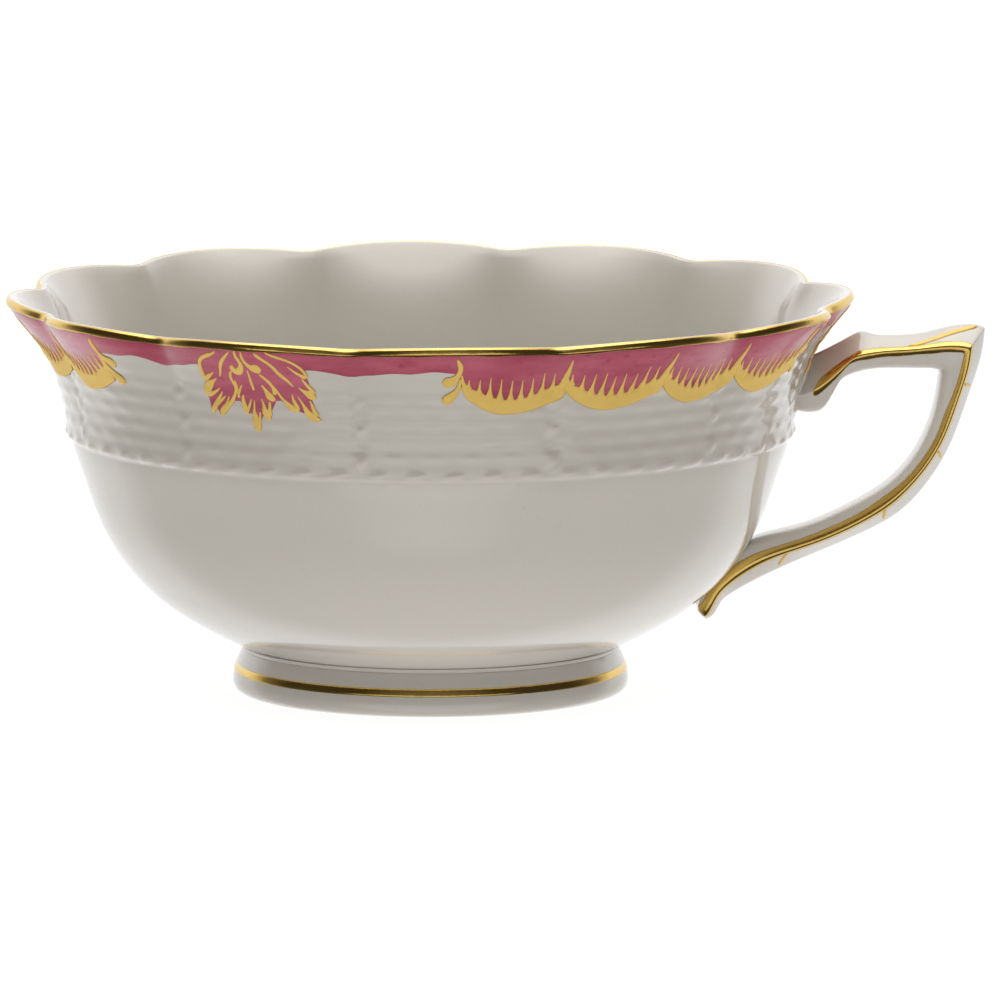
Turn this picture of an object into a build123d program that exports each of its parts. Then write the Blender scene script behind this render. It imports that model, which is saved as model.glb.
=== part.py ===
from build123d import *
from math import cos, radians, sin
import os

# A wide porcelain teacup with a twelve-lobed rim, a separately made foot ring and a
# separately made handle, both stuck on with slip, and enamel and gilding on the glaze.
# Millimetres. Origin: the cup's axis on the plane that the foot rests on. +Z is up and
# +X points along the handle.

# ---- driving dimensions -------------------------------------------------------------
LOBES = 12                  # arcs round the rim, one of them centred on +X
LOBE_ANGLE = 360 / LOBES
LIP_HEIGHT = 50.8           # top of the rim at the middle of a lobe
LIP_RADIUS = 53.9           # rim radius at the middle of a lobe
LIP_DIP = 0.6               # how much lower the lip is where two lobes meet
LOBE_CUSP_DEPTH = 2.7       # how far the rim comes in where two lobes meet
CUTTER_EXCESS = 1.1         # a lip cutter's width as a share of its lobe's
CUTTER_HEIGHT = 4.0         # how far a lip cutter reaches above the lip
CUTTER_REACH = 10.4         # how far it reaches in and out from the band
BAND_FOOT = 33.0            # height where the lobed band starts, with a small step
BAND_FOOT_RADIUS = 45.8     # radius of the bowl just below that step
BAND_STEP = 0.4
BAND_WALL = 2.2             # wall of the band, measured level
BOWL_FLOOR = 8.9            # inside bottom of the bowl
BOWL_SEAT = 5.9             # height of the ring on which the foot is stuck
BOWL_SEAT_INNER = 20.4
BOWL_SEAT_OUTER = 23.9
BOWL_BELLY = 4.6            # lowest point of the bowl inside the foot ring
SLIP = 0.4                  # thickness of the slip joints of the handle
SLIP_CLEARANCE = 0.01       # gap that keeps the slip's face off the bowl's
FOOT_SLIP = 0.3             # thickness of the slip joint of the foot ring
SKIN = 0.12                 # thickness of the gilding and of the enamel
RIM_GILDING_FOOT = 49.5     # lower edge of the gilt rim
ENAMEL_FOOT = 47.4          # lower edge of the enamel band, away from the ornaments
FOOT_LINE_HEIGHT = 3.2      # middle of the gilt line round the foot
FOOT_LINE_WIDTH = 1.0
GARLANDS = 3                # runs of scallops, with a leaf spray between each two
SCALLOPS = 4                # scallops in one garland
SCALLOP_ANGLE = 15.5
SCALLOP_TEETH = 9
SCALLOP_SHOULDER = -4.8     # where two crescents meet, from the gilt rim's lower edge
SCALLOP_DROP = 2.9          # how far a crescent hangs below its shoulders
CRESCENT_SPREAD = 0.98      # a crescent's width as a share of its scallop's
TOOTH_HALF_WIDTH = 0.3
TOOTH_ROOT = 1.1            # where a tooth leaves the crescent, above its lower edge
TOOTH_TIP = 2.9             # how high the tip stands above that edge
SPIKE_TIP = -0.4            # top of the spike between two scallops, from the gilt rim
SPIKE_HALF_WIDTH = 0.1
SPIKE_ROOT = 0.6            # how far in and up the spike's root lies
FIELD_LIFT = 0.5            # how far the enamel stops above a crescent's lower edge
FLOURISH_ANGLE = 1.5        # from the end of the last scallop to the flourish
PATTERN_TURN = 1.8          # how far the painter's pattern is turned from the lobes
ORNAMENT_RADIUS = 50.5      # the radius at which ornament widths are measured
ORNAMENT_REACH = 9.0        # how far an ornament's prism reaches in and out from there

# The bowl's outside below the band, (radius, height) from the foot joint up.
OUTER_PROFILE = [(BOWL_SEAT_OUTER, BOWL_SEAT), (28.1, 8.1), (33.3, 11.2), (38.3, 15.9),
                 (42.1, 22.1), (44.3, 28.3), (BAND_FOOT_RADIUS, BAND_FOOT)]
# The bowl's inside below the band, from the flat floor up.
INNER_PROFILE = [(12.0, BOWL_FLOOR), (23.0, 10.6), (30.0, 13.9), (35.2, 18.2),
                 (39.3, 23.6), (42.0, 28.8),
                 (BAND_FOOT_RADIUS + BAND_STEP - BAND_WALL, BAND_FOOT)]
# The band's outside at the middle of a lobe, (radius, height).
BAND_PROFILE = [(BAND_FOOT_RADIUS + BAND_STEP, BAND_FOOT), (46.5, 35.5), (47.1, 38.0), (48.0, 41.0),
                (49.2, 43.9), (50.6, 45.9), (52.0, 47.5), (53.1, 48.8), (53.7, 49.8),
                (LIP_RADIUS, LIP_HEIGHT)]
# The foot ring, (radius, height) round its section, with a flat face to stand on.
FOOT_REST_INNER = 22.4
FOOT_REST_OUTER = 24.0
FOOT_OUTSIDE = [(FOOT_REST_OUTER, 0.0), (25.2, 1.5), (25.0, 2.7), (24.5, 4.3),
                (BOWL_SEAT_OUTER, BOWL_SEAT - FOOT_SLIP)]
FOOT_INSIDE = [(BOWL_SEAT_INNER, BOWL_SEAT - FOOT_SLIP), (21.2, 1.2),
               (FOOT_REST_INNER, 0.0)]

# The handle in its own plane. Each station is the outer point (the crown), the inner point,
# where the arrises lie as a share of the way from the crown to the inner point, half the
# width at the arrises and half the width of the inner face.
HANDLE_CORNER = ((70.9, 45.9), (65.0, 40.3), 0.41, 4.3, 2.5)
HANDLE_TOP = [((46.8, 41.8), (45.6, 35.6), 0.6, 3.6, 2.3),
              ((51.2, 43.8), (50.0, 36.3), 0.53, 3.7, 2.3),
              ((55.3, 45.4), (53.4, 39.6), 0.5, 3.8, 2.3),
              ((58.6, 44.8), (58.2, 40.8), 0.38, 3.9, 2.3),
              ((64.6, 45.3), (62.6, 40.8), 0.4, 4.1, 2.4),
              HANDLE_CORNER]
HANDLE_SIDE = [HANDLE_CORNER,
               ((70.3, 42.0), (64.9, 38.4), 0.42, 4.2, 2.4),
               ((69.0, 37.4), (64.3, 36.4), 0.44, 4.1, 2.4),
               ((67.3, 32.6), (63.2, 32.8), 0.51, 4.0, 2.4),
               ((64.4, 26.8), (60.2, 28.5), 0.58, 3.9, 2.3),
               ((61.7, 23.7), (57.2, 25.6), 0.57, 3.8, 2.3),
               ((54.5, 19.3), (51.2, 22.2), 0.52, 3.7, 2.2),
               ((46.7, 16.1), (43.9, 20.0), 0.48, 3.5, 2.1),
               ((41.0, 13.1), (37.8, 17.0), 0.48, 3.1, 2.0),
               ((37.5, 11.1), (33.6, 13.2), 0.44, 2.5, 1.7),
               ((35.7, 8.9), (33.6, 10.4), 0.43, 1.5, 1.1)]
GILT_LINE = 1.0             # width of the gilt line along each arris
DASHES = 6                  # gilt strokes across the handle's outer face
DASH_WIDTH = 0.9

# The leaf spray's outline, (along the rim, height above the gilt rim's lower edge),
# as tips and the notches between them.
LEAF = [(-7.0, 0.1), (-9.0, -1.6), (-9.2, -3.2), (-8.4, -4.4), (-7.8, -4.3),
        (-8.2, -5.6), (-7.4, -6.6), (-6.4, -6.2), (-6.3, -8.3), (-5.2, -7.2),
        (-4.7, -8.7), (-3.4, -7.2), (-2.4, -6.6), (-2.0, -8.2), (-0.9, -8.4),
        (-0.4, -7.9), (0.4, -10.1), (1.2, -10.3), (1.2, -8.8), (2.3, -9.0),
        (3.0, -6.6), (4.2, -6.9), (5.6, -7.4), (6.4, -7.8), (8.3, -8.6),
        (7.6, -6.6), (7.9, -5.6), (7.0, -4.2), (7.2, -3.2), (6.2, -1.6),
        (2.0, 0.1)]
LEAF_OUTLINE = 0.5          # width of the gilding that follows the leaf's edge


def turned(points_outside, points_inside):
    """A ring turned from two splines that share their end heights."""
    outer = [Vector(r, 0, z) for r, z in points_outside]
    inner = [Vector(r, 0, z) for r, z in points_inside]
    wire = Wire([Edge.make_spline(outer), Edge.make_line(outer[-1], inner[0]),
                 Edge.make_spline(inner), Edge.make_line(inner[-1], outer[0])])
    return revolve(Face(wire), Axis.Z)


def turned_disc(profile, floor, belly=None):
    """A solid turned from a spline, closed on the axis, with a flat top and bottom.

    With a belly, the bottom sags from the seat's inner edge to that height.
    """
    points = [Vector(r, 0, z) for r, z in profile]
    edges = [Edge.make_spline(points)]
    edges.append(Edge.make_line(points[-1], Vector(0, 0, points[-1].Z)))
    lowest = floor if belly is None else belly
    edges.append(Edge.make_line(Vector(0, 0, points[-1].Z), Vector(0, 0, lowest)))
    if belly is None:
        edges.append(Edge.make_line(Vector(0, 0, floor), points[0]))
    else:
        seat = Vector(BOWL_SEAT_INNER, 0, floor)
        middle = Vector(BOWL_SEAT_INNER * 0.6, 0, belly + (floor - belly) * 0.35)
        edges.append(Edge.make_three_point_arc(Vector(0, 0, belly), middle, seat))
        edges.append(Edge.make_line(seat, points[0]))
    return revolve(Face(Wire(edges)), Axis.Z)


def cusp_depth(height):
    """How far the band comes in between lobes: nothing at its foot, most at the lip."""
    share = (height - BAND_FOOT) / (LIP_HEIGHT - BAND_FOOT)
    return LOBE_CUSP_DEPTH * share**2


def lobed_wire(radius, height, depth):
    """Twelve arcs round the axis, meeting in cusps that lie in by the depth."""
    arcs = []
    for lobe in range(LOBES):
        middle = lobe * LOBE_ANGLE
        ends = []
        for side in (-0.5, 0.5):
            angle = radians(middle + side * LOBE_ANGLE)
            ends.append(Vector((radius - depth) * cos(angle),
                               (radius - depth) * sin(angle), height))
        top = Vector(radius * cos(radians(middle)), radius * sin(radians(middle)), height)
        arcs.append(Edge.make_three_point_arc(ends[0], top, ends[1]))
    return Wire(arcs)


def lobed_band(growth):
    """The solid inside the lobed band's outer face, grown outwards level by an amount."""
    wires = [lobed_wire(r + growth, z, cusp_depth(z)) for r, z in BAND_PROFILE]
    return Solid.make_loft(wires)


def grown_envelope(growth):
    """The bowl's outer shape as a full solid, grown outwards level by an amount."""
    profile = [(r + growth, z) for r, z in OUTER_PROFILE]
    return turned_disc(profile, BOWL_SEAT, BOWL_BELLY) + lobed_band(growth)


def slab(low, high):
    """A level slice of space, wider than the cup."""
    size = 4 * LIP_RADIUS
    return Pos(0, 0, (low + high) / 2) * Box(size, size, high - low)


def rim_plane(angle, height):
    """A plane facing outwards at an angle round the cup; its X runs along the rim."""
    out = Vector(cos(radians(angle)), sin(radians(angle)), 0)
    along = Vector(-sin(radians(angle)), cos(radians(angle)), 0)
    origin = out * ORNAMENT_RADIUS + Vector(0, 0, height)
    return Plane(origin=origin, x_dir=along, z_dir=out)


def lip_cutter(lobe):
    """What is cut off above one lobe so that the lip bows up between its cusps."""
    plane = rim_plane(lobe * LOBE_ANGLE, LIP_HEIGHT)
    half = LIP_RADIUS * sin(radians(LOBE_ANGLE / 2)) * CUTTER_EXCESS
    drop = LIP_DIP * CUTTER_EXCESS**2
    arc = Edge.make_three_point_arc(Vector(-half, -drop), Vector(0, 0), Vector(half, -drop))
    corners = [Vector(half, -drop), Vector(half, CUTTER_HEIGHT),
               Vector(-half, CUTTER_HEIGHT), Vector(-half, -drop)]
    sides = Wire.make_polygon(corners, close=False).edges()
    face = plane * Face(Wire([arc, *sides]))
    block = extrude(face, amount=CUTTER_REACH, both=True)
    reach = 2 * LIP_RADIUS
    wedge_corners = [(0, 0)]
    for side in (-0.5, 0.5):
        angle = radians((lobe + side) * LOBE_ANGLE)
        wedge_corners.append((reach * cos(angle), reach * sin(angle)))
    wedge = extrude(Polygon(*wedge_corners, align=None), amount=reach)
    return block & wedge


def make_bowl(envelope):
    """The bowl: the outer shape less its cavity, with the lip bowed over each lobe."""
    cavity_wires = [lobed_wire(r - BAND_WALL, z, cusp_depth(z)) for r, z in BAND_PROFILE]
    cavity = turned_disc(INNER_PROFILE, BOWL_FLOOR) + Solid.make_loft(cavity_wires)
    bowl = envelope - cavity
    for lobe in range(LOBES):
        bowl -= lip_cutter(lobe)
    return bowl


def section(station):
    """The handle's flat five-sided section at a station: crown, arrises and inner face."""
    crown, inner, share, half_arris, half_inner = station
    crown = Vector(crown[0], 0, crown[1])
    inner = Vector(inner[0], 0, inner[1])
    arris = crown + (inner - crown) * share
    return [crown, arris + Vector(0, half_arris, 0), inner + Vector(0, half_inner, 0),
            inner - Vector(0, half_inner, 0), arris - Vector(0, half_arris, 0)]


def lofted(stations, outline):
    """A loft through one closed outline for each station."""
    return Solid.make_loft([Wire.make_polygon(outline(s), close=True) for s in stations])


def make_handle_blank():
    """The whole strap, from inside the bowl's wall to the tail, before it is trimmed."""
    return lofted(HANDLE_TOP, section) + lofted(HANDLE_SIDE, section)


def arris_outline(side):
    """Gives the outline of the gilt line along one arris, a skin over the edge.

    It stands a skin's thickness off both faces that meet at the arris, and is closed by a
    point inside the strap, which is cut away later.
    """
    def outline(station):
        crown, arris_left, inner_left, inner_right, arris_right = section(station)
        arris, inner = (arris_left, inner_left) if side > 0 else (arris_right, inner_right)
        out = Vector(0, side, 0)
        up = (crown - arris).normalized()
        down = (inner - arris).normalized()
        off_up = (out - up * out.dot(up)).normalized() * SKIN
        off_down = (out - down * out.dot(down)).normalized() * SKIN
        return [arris + up * (GILT_LINE / 2) + off_up, arris + (off_up + off_down),
                arris + down * (GILT_LINE / 2) + off_down, arris - out * (4 * SKIN)]
    return outline


def gilt_line(side, blank, envelope):
    """The gilding along one arris, outside the strap and clear of the bowl."""
    outline = arris_outline(side)
    line = lofted(HANDLE_TOP[1:], outline) + lofted(HANDLE_SIDE[:-1], outline)
    return line - blank - envelope


def gilt_dashes(blank):
    """Short strokes across the handle's outer face, between the gilt arrises."""
    strokes = []
    shell = lofted(HANDLE_SIDE, grown_section) - blank
    for station in HANDLE_SIDE[3:3 + DASHES]:
        crown, arris_left, _, _, arris_right = section(station)
        centre = (crown + arris_left + arris_right) * (1 / 3)
        spread = (arris_left - arris_right).length / 2
        out = (crown - (arris_left + arris_right) * 0.5).normalized()
        plane = Plane(origin=centre, x_dir=Vector(0, 1, 0), z_dir=out)
        prism = extrude(plane * Rectangle(spread, DASH_WIDTH), amount=4, both=True)
        strokes.append(shell & prism)
    return strokes


def grown_section(station):
    """The handle's section with the crown and the arrises moved out by a skin."""
    crown, arris_left, inner_left, inner_right, arris_right = section(station)
    out = (crown - (inner_left + inner_right) * 0.5).normalized() * SKIN
    return [crown + out, arris_left + out, inner_left, inner_right, arris_right + out]


def ornament(points, angle):
    """A prism through the skin of the band, from an outline given along the rim."""
    plane = rim_plane(angle, RIM_GILDING_FOOT)
    face = plane * Face(Wire.make_polygon([Vector(u, v) for u, v in points], close=True))
    return extrude(face, amount=ORNAMENT_REACH, both=True)


def scallop_lower(share, width):
    """The crescent's lower edge at a share of its width, below the gilt rim."""
    bow = 4 * share * (1 - share)
    return (share - 0.5) * width, SCALLOP_SHOULDER - SCALLOP_DROP * bow


def scallop_outline():
    """A crescent with teeth along its upper edge and a tall spike at each end."""
    width = 2 * ORNAMENT_RADIUS * sin(radians(SCALLOP_ANGLE / 2)) * CRESCENT_SPREAD
    steps = SCALLOP_TEETH + 1
    lower = [scallop_lower(i / steps, width) for i in range(steps + 1)]
    right, left = lower[-1], lower[0]
    upper = [(right[0] - SPIKE_HALF_WIDTH, SPIKE_TIP),
             (right[0] - SPIKE_ROOT, right[1] + SPIKE_ROOT)]
    for tooth in range(SCALLOP_TEETH, 0, -1):
        x, y = lower[tooth]
        upper += [(x + TOOTH_HALF_WIDTH, y + TOOTH_ROOT), (x, y + TOOTH_TIP),
                  (x - TOOTH_HALF_WIDTH, y + TOOTH_ROOT)]
    upper += [(left[0] + SPIKE_ROOT, left[1] + SPIKE_ROOT),
              (left[0] + SPIKE_HALF_WIDTH, SPIKE_TIP)]
    return lower + upper


def scallop_field():
    """The enamelled ground of one scallop, from above the gilt rim's edge to the crescent."""
    width = 2 * ORNAMENT_RADIUS * sin(radians(SCALLOP_ANGLE / 2))
    steps = SCALLOP_TEETH + 1
    lower = [scallop_lower(i / steps, width) for i in range(steps + 1)]
    lower = [(x, y + FIELD_LIFT) for x, y in lower]
    return lower + [(width / 2, 1), (-width / 2, 1)]


def flourish_outline(side):
    """Two comma strokes that end a garland, mirrored for its two ends."""
    strokes = [[(0, -0.3), (0.5, -0.4), (0.9, -2.2), (0.2, -3.6), (-1.0, -3.6),
                (-1.3, -2.6), (-0.5, -2.9), (0.2, -2.0)],
               [(0.7, -4.0), (1.2, -4.0), (0.9, -5.4), (0.0, -6.2), (-1.0, -6.0),
                (-1.2, -5.1), (-0.4, -5.2), (0.3, -4.9)]]
    return [[(side * u, v) for u, v in stroke] for stroke in strokes]


def round_the_cup(count, start):
    """Equal angles round the cup."""
    return [start + 360 / count * i for i in range(count)]


GARLAND_ANGLES = round_the_cup(GARLANDS, 180 / GARLANDS + PATTERN_TURN)
LEAF_ANGLES = round_the_cup(GARLANDS, PATTERN_TURN)


def make_decoration(handle_blank):
    """Enamel and gilding on the band, as skins that share edges and don't overlap.

    The handle's root covers part of the leaf spray behind it.
    """
    skin = lobed_band(SKIN) - lobed_band(0)
    gilt_skin = skin & slab(RIM_GILDING_FOOT, LIP_HEIGHT - LIP_DIP)
    decor_skin = skin & slab(BAND_FOOT + 2, RIM_GILDING_FOOT)

    scallop_prisms = []
    field_prisms = []
    flourish_prisms = []
    for garland in GARLAND_ANGLES:
        for index in range(SCALLOPS):
            angle = garland + (index - (SCALLOPS - 1) / 2) * SCALLOP_ANGLE
            scallop_prisms.append(ornament(scallop_outline(), angle))
            field_prisms.append(ornament(scallop_field(), angle))
        for side in (-1, 1):
            angle = garland + side * (SCALLOPS / 2 * SCALLOP_ANGLE + FLOURISH_ANGLE)
            for stroke in flourish_outline(-side):
                flourish_prisms.append(ornament(stroke, angle))

    leaf_prisms = [ornament(LEAF, angle) for angle in LEAF_ANGLES]
    leaf_face = Face(Wire.make_polygon([Vector(u, v) for u, v in LEAF], close=True))
    core = offset(leaf_face, amount=-LEAF_OUTLINE, kind=Kind.INTERSECTION)
    core_prisms = [extrude(rim_plane(angle, RIM_GILDING_FOOT) * core,
                           amount=ORNAMENT_REACH, both=True) for angle in LEAF_ANGLES]

    scallops = [decor_skin & prism for prism in scallop_prisms]
    flourishes = [decor_skin & prism for prism in flourish_prisms]
    leaf_cores = [(decor_skin & prism) - handle_blank for prism in core_prisms]
    leaf_lines = [(decor_skin & leaf) - core - handle_blank
                  for leaf, core in zip(leaf_prisms, core_prisms)]
    plain_band = decor_skin & slab(ENAMEL_FOOT, RIM_GILDING_FOOT)
    enamel = plain_band
    for prism in field_prisms:
        enamel += decor_skin & prism
    for prism in scallop_prisms + flourish_prisms + leaf_prisms:
        enamel -= prism
    return {"rim_gilding": [gilt_skin], "rim_enamel": [enamel],
            "scallop_gilding": scallops, "flourish_gilding": flourishes,
            "leaf_enamel": leaf_cores, "leaf_gilding": leaf_lines}


def foot_line():
    """The gilt line round the foot ring, a skin on its outside."""
    low = FOOT_LINE_HEIGHT - FOOT_LINE_WIDTH / 2
    high = FOOT_LINE_HEIGHT + FOOT_LINE_WIDTH / 2
    grown = [(r + SKIN, z) for r, z in FOOT_OUTSIDE]
    return (turned(grown, FOOT_INSIDE) - turned(FOOT_OUTSIDE, FOOT_INSIDE)) & slab(low, high)


def only_solids(shapes):
    """All solids of a list of shapes as one compound, or the one solid alone."""
    found = []
    for shape in shapes:
        found += list(shape.solids())
    return found[0] if len(found) == 1 else Compound(children=found)


def build():
    """Every node of the cup, by name."""
    envelope = grown_envelope(0)
    slip_envelope = grown_envelope(SLIP)
    blank = make_handle_blank()
    slips = (blank & slip_envelope) - grown_envelope(SLIP_CLEARANCE)
    handle = blank - slip_envelope
    nodes = {
        "cup_bowl": [make_bowl(envelope)],
        "foot_ring": [turned(FOOT_OUTSIDE, FOOT_INSIDE)],
        "foot_slip": [turned([(BOWL_SEAT_OUTER, BOWL_SEAT - FOOT_SLIP),
                              (BOWL_SEAT_OUTER, BOWL_SEAT)],
                             [(BOWL_SEAT_INNER, BOWL_SEAT),
                              (BOWL_SEAT_INNER, BOWL_SEAT - FOOT_SLIP)])],
        "handle": [handle],
        "upper_handle_slip": [slips & slab(BAND_FOOT, LIP_HEIGHT)],
        "lower_handle_slip": [slips & slab(0, BAND_FOOT)],
        "handle_gilding_near": [gilt_line(-1, blank, slip_envelope)],
        "handle_gilding_far": [gilt_line(1, blank, slip_envelope)],
        "handle_gilding_dashes": gilt_dashes(blank),
        "foot_gilding": [foot_line()],
    }
    nodes.update(make_decoration(blank))
    return nodes


os.makedirs("parts", exist_ok=True)
for name, shapes in build().items():
    export_step(only_solids(shapes), f"parts/{name}.step")
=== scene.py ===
"""A wide porcelain teacup: lobed gilt rim, osier band, enamelled border, angular handle.

Lengths inside the builders are millimetres in the cup's own frame, with +Z up the axis and
+X towards the handle. They become metres when a mesh is made.
"""

import logging
from dataclasses import dataclass
from enum import Enum

import bpy
import numpy as np
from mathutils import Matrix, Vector


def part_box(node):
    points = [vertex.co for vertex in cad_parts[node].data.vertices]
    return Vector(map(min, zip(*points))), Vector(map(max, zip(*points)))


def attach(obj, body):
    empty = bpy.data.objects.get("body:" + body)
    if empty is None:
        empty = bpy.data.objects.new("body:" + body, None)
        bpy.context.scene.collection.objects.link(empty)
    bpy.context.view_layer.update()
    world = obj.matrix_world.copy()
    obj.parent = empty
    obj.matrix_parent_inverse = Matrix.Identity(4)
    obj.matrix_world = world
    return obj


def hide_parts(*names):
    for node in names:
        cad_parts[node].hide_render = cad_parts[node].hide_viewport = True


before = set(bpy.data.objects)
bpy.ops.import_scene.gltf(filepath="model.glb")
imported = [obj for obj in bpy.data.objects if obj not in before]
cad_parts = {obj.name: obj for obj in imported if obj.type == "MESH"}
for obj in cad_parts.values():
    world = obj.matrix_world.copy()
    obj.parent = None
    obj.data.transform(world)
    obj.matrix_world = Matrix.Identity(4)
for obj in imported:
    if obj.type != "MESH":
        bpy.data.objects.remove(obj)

Array = np.ndarray
Outline = list[tuple[float, float]]
MM = 0.001
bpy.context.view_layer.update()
BODY = "root"
SLIP_WIDTH = 3.5
log = logging.getLogger("teacup")


# ---- curves -----------------------------------------------------------------------------

def natural_spline(knots: Array, values: Array, at: Array) -> Array:
    """Natural cubic spline through values at knots.

    The second derivatives solve the usual tridiagonal system, and are zero at both ends.

    Args:
        knots: increasing parameters, n of them.
        values: n rows of any width.
        at: parameters to evaluate.

    Returns:
        One row for each parameter.
    """
    count = len(knots)
    gap = np.diff(knots)
    slope = np.diff(values, axis=0) / gap[:, None]
    system = np.eye(count)
    right = np.zeros_like(values)
    inner = np.arange(1, count - 1)
    system[inner, inner - 1] = gap[:-1]
    system[inner, inner] = 2 * (gap[:-1] + gap[1:])
    system[inner, inner + 1] = gap[1:]
    right[1:-1] = 6 * np.diff(slope, axis=0)
    bend = np.linalg.solve(system, right)
    k = np.clip(np.searchsorted(knots, at, side="right") - 1, 0, count - 2)
    h = gap[k][:, None]
    t = (at - knots[k])[:, None]
    rest = slope[k] - h * (2 * bend[k] + bend[k + 1]) / 6
    return values[k] + rest * t + bend[k] / 2 * t**2 + (bend[k + 1] - bend[k]) / (6 * h) * t**3


def smooth_curve(points: Outline | Array, count: int) -> Array:
    """A smooth curve through points, sampled evenly along its chords.

    Args:
        points: the points it passes through.
        count: how many samples it returns.

    Returns:
        count rows.
    """
    points = np.asarray(points, float)
    knots = np.concatenate([[0.0], np.cumsum(np.linalg.norm(np.diff(points, axis=0), axis=1))])
    return natural_spline(knots, points, np.linspace(0, knots[-1], count))


def smoothstep(value: Array) -> Array:
    """Zero below 0, one above 1, and 3v^2 - 2v^3 between."""
    value = np.clip(value, 0.0, 1.0)
    return value * value * (3 - 2 * value)


def bump(distance: Array) -> Array:
    """A round bump: (1 - d^2)^2 inside distance 1, nothing outside."""
    return np.clip(1 - distance**2, 0.0, None) ** 2


# ---- meshes -----------------------------------------------------------------------------

@dataclass
class Shape:
    """Points in millimetres, faces as lists of point numbers, and point attributes."""

    points: Array
    faces: list[list[int]]
    attributes: dict[str, Array]

    @staticmethod
    def joined(shapes: list["Shape"]) -> "Shape":
        """Several shapes as one, with the attributes that they all have."""
        faces: list[list[int]] = []
        start = 0
        for shape in shapes:
            faces += (np.array(shape.faces) + start).tolist() if shape.even() else [
                [start + i for i in face] for face in shape.faces]
            start += len(shape.points)
        names = set.intersection(*(set(s.attributes) for s in shapes))
        attributes = {n: np.concatenate([s.attributes[n] for s in shapes]) for n in names}
        return Shape(np.concatenate([s.points for s in shapes]), faces, attributes)

    def even(self) -> bool:
        """Whether all faces have the same number of corners."""
        return len({len(face) for face in self.faces}) == 1


def grid_faces(rows: int, columns: int) -> Array:
    """Quads of a grid whose points are numbered row by row. The last column joins the first.

    Args:
        rows: rows of points.
        columns: points in a row.

    Returns:
        One row of four point numbers for each quad.
    """
    i, j = np.meshgrid(np.arange(rows - 1), np.arange(columns), indexing="ij")
    k = (j + 1) % columns
    quads = np.stack([i * columns + j, i * columns + k, (i + 1) * columns + k,
                      (i + 1) * columns + j], axis=-1)
    return quads.reshape(-1, 4)


def tube(rings: Array, attributes: dict[str, Array] | None = None) -> Shape:
    """A closed skin over rings of points, with a flat polygon over each end.

    Args:
        rings: (rings, points in a ring, 3), each ring in the same turning sense.
        attributes: values of shape (rings, points in a ring).

    Returns:
        The shape. Its faces point away from the rings' middle.
    """
    count, around = rings.shape[:2]
    faces = grid_faces(count, around).tolist()
    faces.append(list(range(around - 1, -1, -1)))
    faces.append(list(range((count - 1) * around, count * around)))
    shape = Shape(rings.reshape(-1, 3), faces,
                  {k: v.reshape(-1) for k, v in (attributes or {}).items()})
    return outward(shape)


def outward(shape: Shape) -> Shape:
    """The same closed shape with its faces turned so that its volume is positive."""
    corners = shape.points
    volume = 0.0
    for size in {len(face) for face in shape.faces}:
        block = np.array([face for face in shape.faces if len(face) == size])
        first = corners[block[:, 0]]
        for k in range(1, size - 1):
            cross = np.cross(corners[block[:, k]], corners[block[:, k + 1]])
            volume += float(np.einsum("ij,ij->", first, cross))
    if volume < 0:
        shape.faces = [face[::-1] for face in shape.faces]
    return shape


def closed_both_ways(block: Array, attributes: dict[str, Array]) -> Shape:
    """A skin over a grid of points whose last row joins the first, as its columns do.

    Args:
        block: (rows, columns, 3).
        attributes: values of shape (rows, columns).

    Returns:
        The shape. Its faces point outward.
    """
    rows, columns = block.shape[:2]
    j = np.arange(columns)
    k = (j + 1) % columns
    last = (rows - 1) * columns
    closing = np.stack([last + j, last + k, k, j], axis=1)
    return outward(Shape(block.reshape(-1, 3), grid_faces(rows, columns).tolist() + closing.tolist(),
                         {name: values.reshape(-1) for name, values in attributes.items()}))


# ---- node trees -------------------------------------------------------------------------

class Socket:
    """An output socket whose operators add Math nodes to its tree."""

    def __init__(self, tree: "Tree", output: bpy.types.NodeSocket) -> None:
        """Wraps one output of a tree."""
        self.tree = tree
        self.output = output

    def maths(self, operation: str, first: object, second: object = 0.0) -> "Socket":
        """A Math node of two values, each a number or a socket."""
        return self.tree.node("ShaderNodeMath", {"operation": operation}, {0: first, 1: second})

    def __add__(self, other: object) -> "Socket":
        """self + other."""
        return self.maths("ADD", self, other)

    def __radd__(self, other: object) -> "Socket":
        """other + self."""
        return self.maths("ADD", other, self)

    def __sub__(self, other: object) -> "Socket":
        """self - other."""
        return self.maths("SUBTRACT", self, other)

    def __rsub__(self, other: object) -> "Socket":
        """other - self."""
        return self.maths("SUBTRACT", other, self)

    def __mul__(self, other: object) -> "Socket":
        """self * other."""
        return self.maths("MULTIPLY", self, other)

    def __rmul__(self, other: object) -> "Socket":
        """other * self."""
        return self.maths("MULTIPLY", other, self)

    def __pow__(self, other: float) -> "Socket":
        """self to a power."""
        return self.maths("POWER", self, other)

    def clamped(self) -> "Socket":
        """The value kept between 0 and 1."""
        return self.maths("MINIMUM", self.maths("MAXIMUM", self, 0.0), 1.0)


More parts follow.
